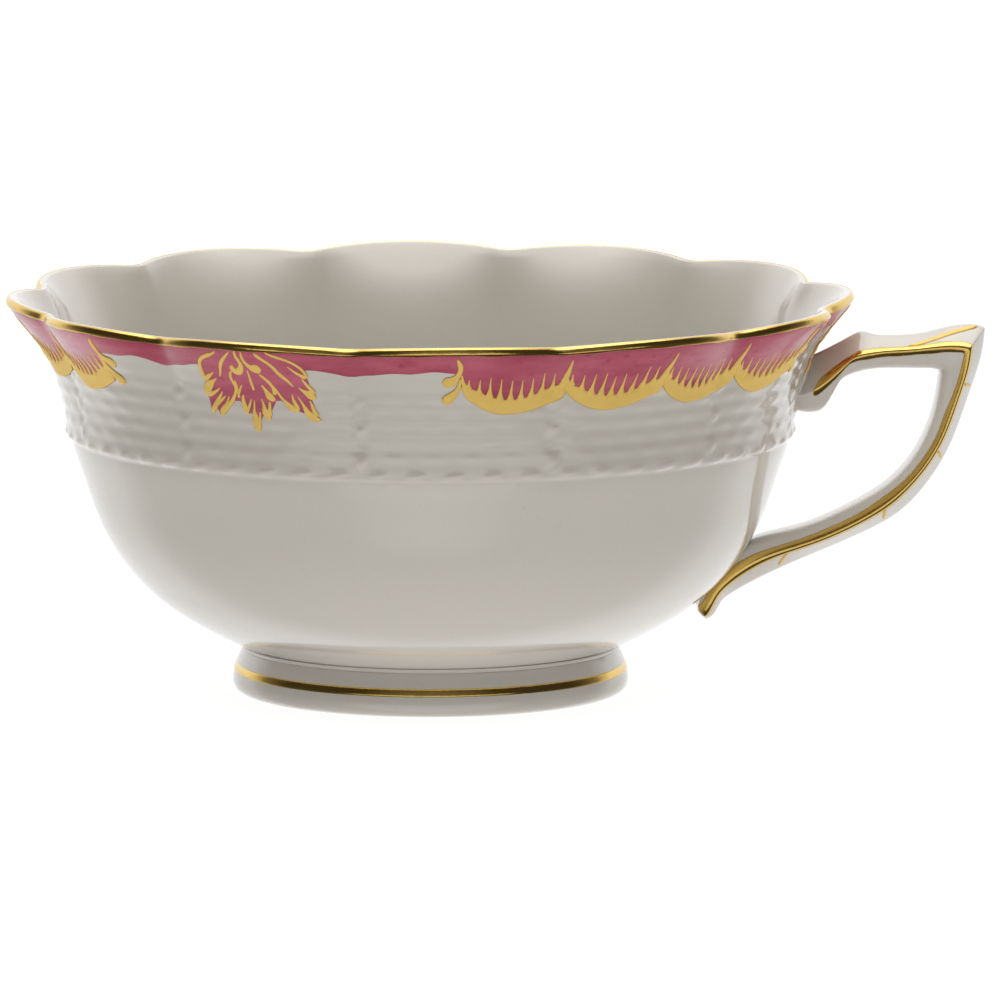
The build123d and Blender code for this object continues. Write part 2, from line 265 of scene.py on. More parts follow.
class Tree:
    """A node tree, a material's or the world's, filled by one method."""

    def __init__(self, owner: bpy.types.Material | bpy.types.World) -> None:
        """Takes over an owner's tree and empties it."""
        owner.use_nodes = True
        self.tree = owner.node_tree
        self.tree.nodes.clear()

    def node(self, kind: str, settings: dict | None = None, inputs: dict | None = None,
             output: int | str = 0) -> Socket:
        """Adds a node.

        Args:
            kind: the node's type.
            settings: its properties, or "stops" for a ramp, as (place, colour) pairs.
            inputs: a value or a Socket for each named or numbered input.
            output: which output to return.

        Returns:
            That output, wrapped.
        """
        node = self.tree.nodes.new(kind)
        for name, value in (settings or {}).items():
            if name == "stops":
                ramp = node.color_ramp
                while len(ramp.elements) < len(value):
                    ramp.elements.new(1.0)
                for element, (place, colour) in zip(ramp.elements, value):
                    element.position = place
                    element.color = (*colour, 1.0)
            else:
                setattr(node, name, value)
        for name, value in (inputs or {}).items():
            if isinstance(value, Socket):
                self.tree.links.new(value.output, node.inputs[name])
            else:
                node.inputs[name].default_value = value
        has_output = len(node.outputs) > 0
        return Socket(self, node.outputs[output]) if has_output else Socket(self, None)

    def place(self) -> Socket:
        """Object coordinates, in metres."""
        return self.node("ShaderNodeTexCoord", output="Object")

    def stretched(self, scale: tuple[float, float, float]) -> Socket:
        """Object coordinates scaled along each axis."""
        return self.node("ShaderNodeMapping", inputs={"Vector": self.place(), "Scale": scale})

    def noise(self, scale: float, detail: float = 3.0,
              stretch: tuple[float, float, float] = (1, 1, 1)) -> Socket:
        """Noise with the given features per metre, as a value from 0 to 1."""
        return self.node("ShaderNodeTexNoise", inputs={
            "Vector": self.stretched(stretch), "Scale": scale, "Detail": detail})

    def attribute(self, name: str) -> Socket:
        """A float attribute of the piece's points."""
        return self.node("ShaderNodeAttribute", {"attribute_name": name}, output="Fac")

    def blend(self, share: object, first: object, second: object) -> Socket:
        """A colour between two, by a share."""
        colours = {6: (*first, 1.0) if isinstance(first, tuple) else first,
                   7: (*second, 1.0) if isinstance(second, tuple) else second, 0: share}
        return self.node("ShaderNodeMix", {"data_type": "RGBA"}, colours, output=2)

    def relief(self, height: Socket, distance: float, strength: float) -> Socket:
        """A bumped normal from a height."""
        return self.node("ShaderNodeBump", inputs={
            "Height": height, "Distance": distance, "Strength": strength})

    def surface(self, inputs: dict) -> None:
        """Ends a material in one Principled shader with these inputs."""
        shader = self.node("ShaderNodeBsdfPrincipled", inputs=inputs)
        self.node("ShaderNodeOutputMaterial", inputs={"Surface": shader})


# ---- finishes ---------------------------------------------------------------------------

Colour = tuple[float, float, float]


@dataclass(frozen=True)
class Glaze:
    """Clear gloss glaze on porcelain, mixed towards a darker shaded colour where the hollow shade
    attribute is high: painted shade in the weave's hollows and on the slip pads.
    """

    name: str
    body: Colour = (0.620, 0.585, 0.530)
    shaded: Colour = (0.520, 0.492, 0.435)
    speck: Colour = (0.42, 0.37, 0.30)
    roughness: float = 0.10

    def material(self) -> bpy.types.Material:
        """Builds the material."""
        made = bpy.data.materials.new(self.name)
        tree = Tree(made)
        cloud = tree.noise(38.0, 4.0)
        # Painted shade: the hollow shade attribute, broken up by noise, mixes the body colour towards
        # the shaded one.
        hollow = (tree.attribute("hollow") + (cloud - 0.5) * 0.35).clamped()
        colour = tree.blend(hollow * 0.55, self.body, self.shaded)
        specks = (1 - tree.noise(2600.0, 1.0) * 2.9).clamped()
        colour = tree.blend(specks * 0.5, colour, self.speck)
        peel = tree.noise(420.0, 2.0) + tree.noise(110.0, 2.0) * 1.6
        tree.surface({"Base Color": colour, "Roughness": self.roughness + cloud * 0.06,
                      "IOR": 1.52, "Coat Weight": 0.6, "Coat Roughness": 0.04,
                      "Normal": tree.relief(peel, 0.00012, 0.10)})
        return made


@dataclass(frozen=True)
class Gilding:
    """Gold fired on the glaze. Burnishing leaves fine lines, and the edge shows its ground."""

    name: str
    metal: Colour
    worn: Colour
    roughness: float
    metallic: float
    streak: tuple[float, float, float] = (1, 1, 1)
    bump_height: float = 0.00006
    ground: Colour = (0.27, 0.075, 0.030)

    def material(self) -> bpy.types.Material:
        """Builds the material."""
        made = bpy.data.materials.new(self.name)
        tree = Tree(made)
        mottle = tree.noise(520.0, 5.0, self.streak)
        patches = tree.noise(150.0, 3.0)
        edge = (tree.attribute("edge") * 1.25 - 0.25 + (mottle - 0.5) * 0.3).clamped() ** 2.0
        colour = tree.blend((mottle * 0.7 + patches * 0.5 - 0.2).clamped(), self.worn, self.metal)
        colour = tree.blend(edge * 0.75, colour, self.ground)
        height = mottle + tree.noise(2400.0, 2.0, self.streak) * 0.4
        tree.surface({"Base Color": colour, "Metallic": self.metallic * (1 - edge * 0.5),
                      "Roughness": self.roughness + (mottle - 0.5) * 0.16,
                      "Normal": tree.relief(height, self.bump_height, 0.35)})
        return made


@dataclass(frozen=True)
class Enamel:
    """Translucent enamel laid by hand: streaks along the rim, darker where it gathers."""

    name: str
    thin: Colour = (0.520, 0.125, 0.180)
    full: Colour = (0.340, 0.042, 0.078)
    spot: Colour = (0.26, 0.02, 0.05)

    def material(self) -> bpy.types.Material:
        """Builds the material."""
        made = bpy.data.materials.new(self.name)
        tree = Tree(made)
        washes = tree.noise(95.0, 4.0, (1, 1, 2.6))
        streaks = tree.noise(420.0, 4.0, (0.6, 0.6, 2.4))
        edge = tree.attribute("edge")
        share = (washes * 1.5 + streaks * 0.9 - 0.75 + edge * 0.45).clamped()
        colour = tree.blend(share, self.thin, self.full)
        spots = (1 - tree.noise(900.0, 1.0) * 2.7).clamped()
        colour = tree.blend(spots, colour, self.spot)
        tree.surface({"Base Color": colour, "Roughness": 0.22 + streaks * 0.15,
                      "Coat Weight": 0.5, "Coat Roughness": 0.08,
                      "Normal": tree.relief(streaks + washes, 0.00010, 0.30)})
        return made


class Finish(Enum):
    """The finishes of the cup."""

    PORCELAIN = "porcelain"
    SLIP = "slip"
    BURNISHED = "burnished_gold"
    MATTE = "matte_gold"
    ENAMEL = "raspberry_enamel"


RECIPES = {
    Finish.PORCELAIN: Glaze("porcelain_glaze"),
    Finish.SLIP: Glaze("glazed_slip", body=(0.605, 0.570, 0.512), roughness=0.13),
    Finish.BURNISHED: Gilding("burnished_gilding", (0.86, 0.62, 0.20), (0.70, 0.46, 0.11), 0.15, 1.0,
                              (1, 1, 3.0)),
    Finish.MATTE: Gilding("satin_gilding", (0.98, 0.69, 0.20), (0.84, 0.56, 0.13), 0.52, 0.35),
    Finish.ENAMEL: Enamel("raspberry_enamel"),
}


class Workshop:
    """Turns shapes into finished pieces that ride on the cup's body."""

    def __init__(self) -> None:
        """Makes each finish once."""
        self.materials = {finish: recipe.material() for finish, recipe in RECIPES.items()}

    def piece(self, name: str, shape: Shape, finish: Finish, *nodes: str) -> bpy.types.Object:
        """Makes one piece.

        Args:
            name: the piece's name.
            shape: its points and faces, in millimetres.
            finish: what it is coated with.
            nodes: the CAD nodes it stands for.

        Returns:
            The new object.
        """
        mesh = bpy.data.meshes.new(name)
        mesh.from_pydata((shape.points * MM).tolist(), [], shape.faces)
        for key, values in shape.attributes.items():
            layer = mesh.attributes.new(key, "FLOAT", "POINT")
            layer.data.foreach_set("value", values.astype(np.float32))
        mesh.polygons.foreach_set("use_smooth", np.ones(len(mesh.polygons), bool))
        mesh.update()
        mesh.materials.append(self.materials[finish])
        made = bpy.data.objects.new(name, mesh)
        bpy.context.scene.collection.objects.link(made)
        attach(made, BODY)
        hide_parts(*nodes)
        triangles = sum(len(face) - 2 for face in shape.faces)
        log.info("%s: %d triangles for %s", name, triangles, ", ".join(nodes))
        return made


# ---- the bowl ---------------------------------------------------------------------------

@dataclass
class Osier:
    """The raised basket weave: level strands in rows, pads along them and slanted ribs."""

    foot: float = 33.0
    row: float = 1.95
    top: float = 46.8
    pads_round: int = 60
    ribs_round: int = 12
    strand: float = 0.055
    pad: float = 0.12
    rib: float = 0.22
    border: float = 0.24
    rib_heights: tuple[float, ...] = (35.1, 39.0, 42.9)
    hollow_heights: tuple[float, ...] = (36.9, 40.5, 43.8)

    def height(self, angle: Array, z: Array) -> Array:
        """How far the weave stands out, in millimetres.

        A strand is a raised cosine across its row, where v runs from -1 to 1. A pad is a raised
        cosine along it, half a pad on in every other row. A rib is a round bump on an
        ellipse that leans up to the right, with a round hollow above it. Along the foot of
        the band runs a border of one leaning bump to each pad.
        """
        across = (z - self.foot) / self.row
        row = np.floor(across)
        v = 2 * (across - row) - 1
        strand = 0.5 + 0.5 * np.cos(np.pi * v)
        turn = angle * self.pads_round / (2 * np.pi) + 0.5 * np.mod(row, 2) + 0.5
        pad = 0.5 - 0.5 * np.cos(2 * np.pi * turn)
        uneven = 0.75 + 0.25 * np.sin(angle * 17 + row * 2.1) * np.sin(angle * 7 - row * 1.3)
        weave = self.strand * strand + self.pad * uneven * pad * strand
        knot = np.mod(turn - 0.5 * np.mod(row, 2), 1.0) - 0.5 - 0.25 * (z - self.foot - 0.6)
        weave += self.border * bump(np.hypot(knot / 0.42, (z - self.foot - 0.55) / 0.75))
        along = np.degrees(angle) * self.ribs_round / 360 - 0.5
        along = (along - np.round(along)) * 360 / self.ribs_round - 0.7
        side = along * np.pi / 180 * 48
        near_rib = bump(side / 2.2)
        weave = weave * (1 - 0.55 * near_rib)
        ribs = np.zeros_like(weave)
        lean = np.radians(30)
        for centre in self.rib_heights:
            up = z - centre
            length = side * np.cos(lean) + up * np.sin(lean)
            width = up * np.cos(lean) - side * np.sin(lean)
            ribs += self.rib * bump(np.hypot(length / 1.5, width / 0.95))
        for centre in self.hollow_heights:
            ribs -= 0.8 * self.rib * bump(np.hypot(side / 1.5, (z - centre) / 1.0))
        fade = smoothstep((z - self.foot + 0.35) / 0.7) * (1 - 0.75 * smoothstep((z - 43.6) / 2.4))
        fade = fade * (1 - smoothstep((z - self.top) / 1.2))
        return fade * (weave + ribs)


@dataclass
class Cup:
    """The bowl's surface: a turned profile, pulled in at the cusps between its lobes."""

    lip_radius: float
    lip_height: float
    floor: float
    belly: float
    foot_joint: tuple[float, float]
    foot_joint_inner: float
    lobes: int = 12
    cusp_depth: float = 2.7
    lip_dip: float = 0.6
    cusp_rounding: float = 0.12
    lip_bead: float = 0.74
    lip_turn: float = 0.72 * np.pi
    squareness: float = 0.6
    step: float = 0.3
    osier: Osier = None

    def __post_init__(self) -> None:
        """Samples the outer profile once, from the foot joint to the widest of the lip."""
        self.osier = self.osier or Osier()
        shoulder = self.lip_height - self.lip_bead
        outer = [self.foot_joint, (28.1, 8.1), (33.3, 11.2), (38.3, 15.9), (42.1, 22.1),
                 (44.3, 28.3), (45.75, 33.0), (46.5, 38.0), (47.5, 41.0), (48.8, 43.9),
                 (50.4, 46.1), (51.9, 47.9), (52.9, 49.1), (self.lip_radius - self.step, shoulder)]
        self.outer = smooth_curve(outer, 600)
        self.outer[:, 0] += self.step * smoothstep((self.outer[:, 1] - self.osier.foot + 0.4) / 0.8)

    def share(self, z: Array) -> Array:
        """How far up the lobed band a height is, from 0 at its foot to 1 at the lip."""
        return np.clip((z - self.osier.foot) / (self.lip_height - self.osier.foot), 0.0, 1.0)

    def cusp(self, angle: Array) -> Array:
        """0 at the middle of a lobe and 1 where two meet.

        It is the square of the share of half a lobe, with the last stretch turned over by
        a second parabola, so that the cusp is a little rounded.
        """
        lobe = angle * self.lobes / (2 * np.pi)
        x = 2 * np.abs(lobe - np.round(lobe))
        start = 1 - self.cusp_rounding
        over = np.clip(x - start, 0.0, None)
        turned = start**2 + 2 * start * over - start * over**2 / self.cusp_rounding
        return np.where(x < start, x**2, turned) / start

    def radius(self, z: Array) -> Array:
        """The outer radius at the middle of a lobe."""
        return np.interp(z, self.outer[:, 1], self.outer[:, 0])

    def placed(self, angle: Array, radius: Array, z: Array, fade: float = 2.0) -> Array:
        """A turned point moved to its place on the lobed cup.

        The radius shrinks by the cusp depth times the share to the fade, and the height by
        the lip's dip times the share to the fourth.
        """
        share = self.share(z)
        c = self.cusp(angle)
        r = radius - self.cusp_depth * share**fade * c
        height = z - self.lip_dip * share**4 * c
        return np.stack([r * np.cos(angle), r * np.sin(angle), height + 0 * angle], axis=-1)

    def point(self, angle: Array, z: Array, lift: Array | float = 0.0) -> Array:
        """A point of the outside, lifted off the glaze square to the profile."""
        z = np.asarray(z, float)
        grade = (self.radius(z + 0.2) - self.radius(z - 0.2)) / 0.4
        size = np.hypot(1.0, grade)
        off = self.osier.height(angle, z) + lift
        return self.placed(angle, self.radius(z) + off / size, z - off * grade / size)

    def lip_edge(self, t: Array, grow: float = 0.0) -> Array:
        """The lip's edge at an angle round it: a squarish corner outside, a round one inside.

        Outside, both the cosine and the sine are raised to the squareness.
        """
        size = self.lip_bead + grow
        power = np.where(t < np.pi / 2, self.squareness, 1.0)
        across = np.sign(np.cos(t)) * np.abs(np.cos(t)) ** power
        return np.stack([self.lip_radius - self.lip_bead + size * across,
                         self.lip_height - self.lip_bead + size * np.sin(t) ** power], axis=-1)

    def inner_profile(self, count: int) -> Array:
        """The inside, from the lip's round edge down to the axis."""
        edge = self.lip_edge(np.array(self.lip_turn))
        points = [tuple(edge), (51.7, 49.6), (50.55, 48.2), (49.1, 46.1), (47.55, 43.2),
                  (45.9, 39.0), (44.8, 35.0), (43.9, 32.0), (42.0, 28.0), (39.0, 22.7),
                  (35.0, 17.8), (30.0, 13.8), (23.0, 10.6), (12.0, self.floor), (0.0, self.floor)]
        return smooth_curve(points, count)


def ring_angles(count: int) -> Array:
    """Equal angles all round, in radians."""
    return np.arange(count) * 2 * np.pi / count


@dataclass
class Bowl:
    """Builds the bowl as one closed skin, finer over the osier band."""

    cup: Cup
    fine: int = 720
    coarse: int = 360
    lower_rows: int = 34
    band_step: float = 0.195
    edge_rows: int = 18
    inner_rows: int = 52
    inner_fade: float = 3.2

    def build(self, shop: Workshop) -> None:
        """Builds and dresses the bowl."""
        cup = self.cup
        around, ring = ring_angles(self.coarse), ring_angles(self.fine)
        under = np.linspace(0.02, 1, 9)[:, None]
        seat_r, seat_z = cup.foot_joint_inner, cup.foot_joint[1]
        belly = np.concatenate([under * seat_r, cup.belly + (seat_z - cup.belly) * under**2], axis=1)
        low_z = np.linspace(seat_z, cup.osier.foot - 1.2, self.lower_rows)
        lower = np.stack([cup.radius(low_z), low_z], axis=1)
        outside = np.concatenate([belly, lower])
        shapes = [cup.placed(around[None, :], outside[:, :1], outside[:, 1:])]
        hollow_shades = [np.zeros(shapes[0].shape[:2])]

        band_z = np.concatenate([np.arange(cup.osier.foot - 1.0, cup.osier.top + 1.4, self.band_step),
                                 np.linspace(48.5, cup.lip_height - cup.lip_bead - 0.25, 5)])
        band = cup.point(ring[None, :], band_z[:, None] + 0 * ring[None, :])
        lip = cup.lip_edge(np.linspace(0, cup.lip_turn, self.edge_rows))
        lip_rows = cup.placed(ring[None, :], lip[:, :1], lip[:, 1:])
        shapes.append(np.concatenate([band, lip_rows]))
        # Painted shade: the weave's low places, where its relief stands under 0.26 mm, get a hollow
        # shade share up to 1, which darkens the glaze there.
        relief = cup.osier.height(ring[None, :], band_z[:, None] + 0 * ring[None, :])
        in_band = smoothstep((band_z - cup.osier.foot) / 0.6)[:, None]
        hollow_shade_share = np.clip(1 - relief / 0.26, 0, 1) * in_band
        hollow_shades.append(np.concatenate([hollow_shade_share, np.zeros(lip_rows.shape[:2])]))

        inner = cup.inner_profile(self.inner_rows)[1:]
        inner = inner[inner[:, 0] > 0.3]
        shapes.append(cup.placed(around[None, :], inner[:, :1], inner[:, 1:], self.inner_fade))
        hollow_shades.append(np.zeros(shapes[2].shape[:2]))
        shop.piece("bowl", self.skin(shapes, hollow_shades), Finish.PORCELAIN, "cup_bowl")

    def skin(self, blocks: list[Array], hollow_shades: list[Array]) -> Shape:
        """Joins the coarse outside, the fine band and the coarse inside, and closes both poles.

        Where a coarse ring meets a fine one, each face has two coarse and three fine corners.
        """
        sizes = [block.shape[0] * block.shape[1] for block in blocks]
        starts = np.concatenate([[0], np.cumsum(sizes)])
        faces: list[list[int]] = []
        for block, start in zip(blocks, starts):
            faces += (grid_faces(*block.shape[:2]) + start).tolist()
        i = np.arange(self.coarse)
        after = (i + 1) % self.coarse
        fine = np.stack([2 * i, 2 * i + 1, (2 * i + 2) % self.fine], axis=1)
        last_low = starts[1] - self.coarse
        faces += np.stack([last_low + i, last_low + after, starts[1] + fine[:, 2],
                           starts[1] + fine[:, 1], starts[1] + fine[:, 0]], axis=1).tolist()
        last_fine = starts[2] - self.fine
        faces += np.stack([last_fine + fine[:, 0], last_fine + fine[:, 1],
                           last_fine + fine[:, 2], starts[2] + after, starts[2] + i],
                          axis=1).tolist()
        points = np.concatenate([block.reshape(-1, 3) for block in blocks])
        ends = [blocks[0][0].mean(axis=0), blocks[2][-1].mean(axis=0)]
        under, floor = len(points), len(points) + 1
        last = starts[3] - self.coarse
        faces += np.stack([np.full_like(i, under), after, i], axis=1).tolist()
        faces += np.stack([np.full_like(i, floor), last + i, last + after], axis=1).tolist()
        points = np.concatenate([points, ends])
        hollow = np.concatenate([h.reshape(-1) for h in hollow_shades] + [np.zeros(2)])
        return outward(Shape(points, faces, {"hollow": hollow}))


@dataclass
class Foot:
    """The turned foot ring, its slip joint and its gilt line."""

    joint_radius: float
    joint_inner: float
    joint_height: float
    slip_height: float
    line_low: float
    line_high: float
    widest: float
    turns: int = 288

    def outside(self) -> Outline:
        """The outside, from the resting face up to the slip joint."""
        return [(self.widest - 0.95, 0.06), (self.widest - 0.35, 0.42), (self.widest, 1.3),
                (self.widest - 0.15, 2.6), (self.widest - 0.62, 4.2),
                (self.joint_radius + 0.05, self.slip_height)]

    def ring(self, section: Array) -> Shape:
        """A closed section turned round the axis."""
        angle = ring_angles(self.turns)[:, None]
        r, z = section[None, :, 0], section[None, :, 1]
        points = np.stack([r * np.cos(angle), r * np.sin(angle), z + 0 * angle], axis=-1)
        zero = np.zeros(points.shape[:2])
        return closed_both_ways(points, {"hollow": zero, "edge": zero})

    def build(self, shop: Workshop) -> None:
        """Builds the ring, the joint and the gilt line."""
        outer = smooth_curve(self.outside(), 30)
        inner = smooth_curve([(self.joint_inner, self.slip_height), (self.joint_inner + 0.5, 2.8),
                              (self.joint_inner + 0.95, 1.0), (self.joint_inner + 1.45, 0.25),
                              (self.joint_inner + 2.0, 0.03)], 18)
        rest = np.array([[self.joint_inner + 2.3, 0.0], [self.widest - 1.35, 0.0]])
        shop.piece("foot", self.ring(np.concatenate([outer, inner, rest])),
                   Finish.PORCELAIN, "foot_ring")
        out, inn = self.joint_radius, self.joint_inner
        middle = (self.slip_height + self.joint_height) / 2
        fillet = smooth_curve([(out + 0.02, self.slip_height - 0.25), (out + 0.12, middle),
                               (out + 0.55, self.joint_height + 0.22)], 9)
        inside = np.array([(inn - 0.02, self.joint_height), (inn - 0.02, self.slip_height)])
        shop.piece("foot_slip_joint", self.ring(np.concatenate([fillet, inside])),
                   Finish.SLIP, "foot_slip")
        profile = outer[np.argsort(outer[:, 1])]
        z = np.linspace(self.line_low, self.line_high, 9)
        r = np.interp(z, profile[:, 1], profile[:, 0])
        crown = 0.07 * (1 - np.linspace(-1, 1, 9) ** 4)
        line = np.concatenate([np.stack([r + 0.01 + crown, z], axis=1),
                               [(r[-1] - 0.15, z[-1]), (r[0] - 0.15, z[0])]])
        shop.piece("foot_line", self.ring(line), Finish.BURNISHED, "foot_gilding")


# ---- the painter's work -----------------------------------------------------------------

@dataclass(frozen=True)
class Stroke:
    """One brush stroke: points along the rim and down from the gilding, and its widths."""

    path: tuple[tuple[float, float], ...]
    widths: tuple[float, ...]


def stroke(path: Outline, *widths: float) -> Stroke:
    """A stroke through points, with widths spread evenly from its start to its end."""
    return Stroke(tuple(path), tuple(widths))


@dataclass
class Brush:
    """Lays strokes and washes of colour on the cup's outside."""

    cup: Cup
    top: float
    lift: float = 0.15
    steps: int = 18
    radius: float = 50.5

    def angle(self, along: Array) -> Array:
        """The angle of a length along the rim."""
        return along / self.radius

    def laid(self, mark: Stroke, centre: float, mirror: int = 1) -> Shape:
        """A stroke as a closed ridge.

        At each step of the path a ring of points crosses it. The ring's top is an arch of
        the lift times the square root of 1 - t^4, and its bottom lies in the glaze. Both
        ends are rounded by the square root of 1 - e^2 over the last half width.

        Args:
            mark: the stroke.
            centre: the angle of its origin, in radians.
            mirror: 1, or -1 to turn it left for right.

        Returns:
            The ridge.
        """
        path = np.array(mark.path, float)
        line = smooth_curve(path, self.steps) if len(path) > 2 else (
            path[0] + (path[1] - path[0]) * np.linspace(0, 1, self.steps)[:, None])
        place = np.linspace(0, 1, self.steps)
        half = np.interp(place, np.linspace(0, 1, len(mark.widths)), mark.widths) / 2
        run = np.concatenate([[0.0], np.cumsum(np.linalg.norm(np.diff(line, axis=0), axis=1))])
        from_end = np.minimum(run, run[-1] - run)
        cap = np.clip(1 - from_end / np.maximum(half, 1e-3), 0.0, 1.0)
        half = half * np.sqrt(np.clip(1 - cap**2, 0.01, 1.0))
        way = np.gradient(line, axis=0)
        way /= np.linalg.norm(way, axis=1, keepdims=True)
        side = np.stack([-way[:, 1], way[:, 0]], axis=1)
        t = np.array([-1.0, -0.92, -0.6, 0.0, 0.6, 0.92, 1.0, 0.5, -0.5])
        arch = np.array([0.0, 0.62, 0.93, 1.0, 0.93, 0.62, 0.0, -0.6, -0.6])
        spots = line[:, None, :] + side[:, None, :] * (half[:, None] * t)[:, :, None]
        height = np.where(arch > 0, arch * np.minimum(self.lift, half[:, None] * 0.8), arch * 0.12)
        edge = np.broadcast_to(np.where(arch > 0.7, 0.0, np.where(arch > 0.5, 0.55, 1.0)),
                               height.shape)
        points = self.cup.point(centre + self.angle(mirror * spots[..., 0]),
                                self.top + spots[..., 1], height + 0.03)
        return tube(points, {"edge": np.array(edge)})

    def wash(self, low: Array, high: Array, rows: int, thick: float, closed: bool) -> Shape:
        """A thin coat between two edges.

        Args:
            low: the lower edge, rows of angle and height.
            high: the upper edge, point for point with the lower one.
            rows: rows of the top skin.
            thick: how far the coat stands off the glaze.
            closed: whether the last column joins the first.

        Returns:
            The coat, thinned to nothing at its edges and closed underneath.
        """
        t = np.linspace(0, 1, rows)[:, None]
        soft = np.sqrt(np.clip(1 - (2 * t - 1) ** 8, 0.0, 1.0))
        spots = low[None] + (high - low)[None] * t[:, :, None]
        front = self.cup.point(spots[..., 0], spots[..., 1], thick * soft)
        below = low[None] + (high - low)[None] * np.linspace(1, 0, 7)[:, None, None]
        back = self.cup.point(below[..., 0], below[..., 1], -0.25)
        block = np.concatenate([front, back])
        z = spots[..., 1]
        near_edge = np.exp(-(z - low[:, 1]) / 0.25) + np.exp(-(high[:, 1] - z) / 0.2)
        edge = np.concatenate([near_edge, np.ones(below.shape[:2])])
        if not closed:
            rings = np.swapaxes(block, 0, 1)
            return tube(rings, {"edge": np.array(edge.T)})
        return closed_both_ways(block, {"edge": edge})


@dataclass
class Border:
    """The painted border: gilt lip, enamel band, garlands of scallops and leaf sprays."""

    cup: Cup
    gilding_foot: float
    enamel_foot: float = 47.35
    garlands: int = 3
    scallops: int = 4
    scallop_angle: float = 15.5
    turn: float = 1.8
    teeth: int = 9
    lowest: float = -6.8
    lowest_at: float = 0.46
    left_rise: float = 2.9
    right_rise: float = 2.1
    crescent: float = 2.05
    first_tooth: float = 0.07
    tooth_step: float = 0.103
    tooth_tip: float = -2.85
    lip_columns: int = 720
    lip_edge_wear: float = 0.8
    enamel_columns: int = 1440

    def __post_init__(self) -> None:
        """Prepares the brush."""
        self.brush = Brush(self.cup, self.gilding_foot)

    def middles(self, start: float) -> Array:
        """Equal angles for the repeats of the pattern, in radians."""
        return np.radians(start + self.turn + np.arange(self.garlands) * 360 / self.garlands)

    def scallop_middles(self) -> Array:
        """The angles of all scallops, in radians."""
        offsets = (np.arange(self.scallops) - (self.scallops - 1) / 2) * self.scallop_angle
        return (self.middles(180 / self.garlands)[:, None] + np.radians(offsets)).reshape(-1)

    def half_width(self) -> float:
        """Half the length of a scallop along the rim."""
        return self.brush.radius * np.radians(self.scallop_angle) / 2

    def crescent_line(self, share: Array) -> Array:
        """The middle line of a crescent: two bows that rise unequally from its lowest point."""
        left = np.clip(1 - share / self.lowest_at, 0, 1) ** 1.9
        right = np.clip((share - self.lowest_at) / (1 - self.lowest_at), 0, 1) ** 1.9
        return self.lowest + self.left_rise * left + self.right_rise * right

    def enamel_edge(self, angles: Array) -> Array:
        """The enamel's lower edge: wavy, and drawn down to the crescents in a garland."""
        wave = 0.14 * np.sin(angles * 23 + 1.0) + 0.10 * np.sin(angles * 61)
        low = self.enamel_foot + wave - 0.7 * self.cup.cusp(angles) ** 6
        reach = np.radians(self.scallop_angle) / 2
        for middle in self.scallop_middles():
            off = np.angle(np.exp(1j * (angles - middle)))
            share = np.clip(off / (2 * reach) + 0.5, 0, 1)
            inside = np.abs(off) <= reach * 1.01
            low = np.where(inside, self.gilding_foot + self.crescent_line(share), low)
        return low

    def lip_gilding(self) -> Shape:
        """The gilt lip: a skin over the round edge, from the enamel to its crest."""
        cup = self.cup
        ring = ring_angles(self.lip_columns)
        low = self.gilding_foot + 0.28 + 0.06 * np.sin(ring * 31) + 0.04 * np.sin(ring * 73)
        rows = np.linspace(0, 1, 6)[:, None]
        shoulder = cup.lip_height - cup.lip_bead + 0.04
        z = low[None, :] + (shoulder - low)[None, :] * rows
        front = cup.point(ring[None, :] + 0 * z, z, 0.03 + 0.07 * np.sqrt(rows.clip(0, 0.2) * 5))
        t = np.linspace(0.15, 0.40 * np.pi, 12)
        over, back = cup.lip_edge(t, 0.06), cup.lip_edge(t[::-1], -0.2)
        over, back = (cup.placed(ring[None, :], line[:, :1], line[:, 1:]) for line in (over, back))
        hidden = cup.point(ring[None, :] + 0 * z[::-1], z[::-1], -0.2)
        block = np.concatenate([front, over, back, hidden])
        edge = np.zeros(block.shape[:2])
        edge[0] = self.lip_edge_wear
        return closed_both_ways(block, {"edge": edge})

    def scallop(self, centre: float, seed: int) -> list[Shape]:
        """One crescent, its teeth and the spike on its right shoulder."""
        half = self.half_width()
        share = np.linspace(0, 1.05, 9)
        uneven = np.random.default_rng(seed)
        line = [(float((s - 0.5) * 2 * half), float(v))
                for s, v in zip(share, self.crescent_line(share))]
        c = self.crescent
        parts = [self.brush.laid(stroke(line, 0.5, c * 0.8, c * 0.95, c, c, c, c * 1.05,
                                        c * 1.1, c * 1.05), centre)]
        for tooth in range(self.teeth):
            s = self.first_tooth + self.tooth_step * tooth
            u = (s - 0.5) * 2 * half
            v = float(self.crescent_line(np.array(s))) + c * 0.16
            tip = (self.tooth_tip + 0.7 * float(smoothstep((s - 0.6) / 0.3))
                   + uneven.uniform(-0.3, 0.3))
            lean = uneven.uniform(-0.12, 0.12)
            mark = stroke([(u, v), (u + lean / 2, (v + tip) / 2), (u + lean, tip)],
                          1.4, 1.05, 0.50, 0.30, 0.18, 0.10)
            parts.append(self.brush.laid(mark, centre))
        prong = stroke([(0.1 - half, -2.3), (0.25 - half, -3.2), (0.9 - half, -4.5)],
                       0.2, 0.5, 0.9)
        spike = stroke([(half - 0.3, -4.7), (half, -3.4), (half + 0.25, -2.1),
                        (half + 0.45, -0.5)], 1.3, 0.9, 0.75, 0.4, 0.12)
        return parts + [self.brush.laid(mark, centre) for mark in (prong, spike)]

    def flourish(self, centre: float, mirror: int) -> list[Shape]:
        """The two comma strokes that end a garland."""
        upper = stroke([(0.3, -0.1), (0.75, -1.2), (0.5, -2.4), (-0.3, -3.2), (-1.4, -3.45)],
                       0.35, 0.62, 0.65, 0.65, 1.1, 1.5, 1.25)
        lower = stroke([(0.85, -2.8), (0.6, -4.1), (-0.1, -5.2), (-1.3, -6.1)],
                       0.18, 0.5, 0.65, 1.1, 1.4, 1.2)
        return [self.brush.laid(mark, centre, mirror) for mark in (upper, lower)]

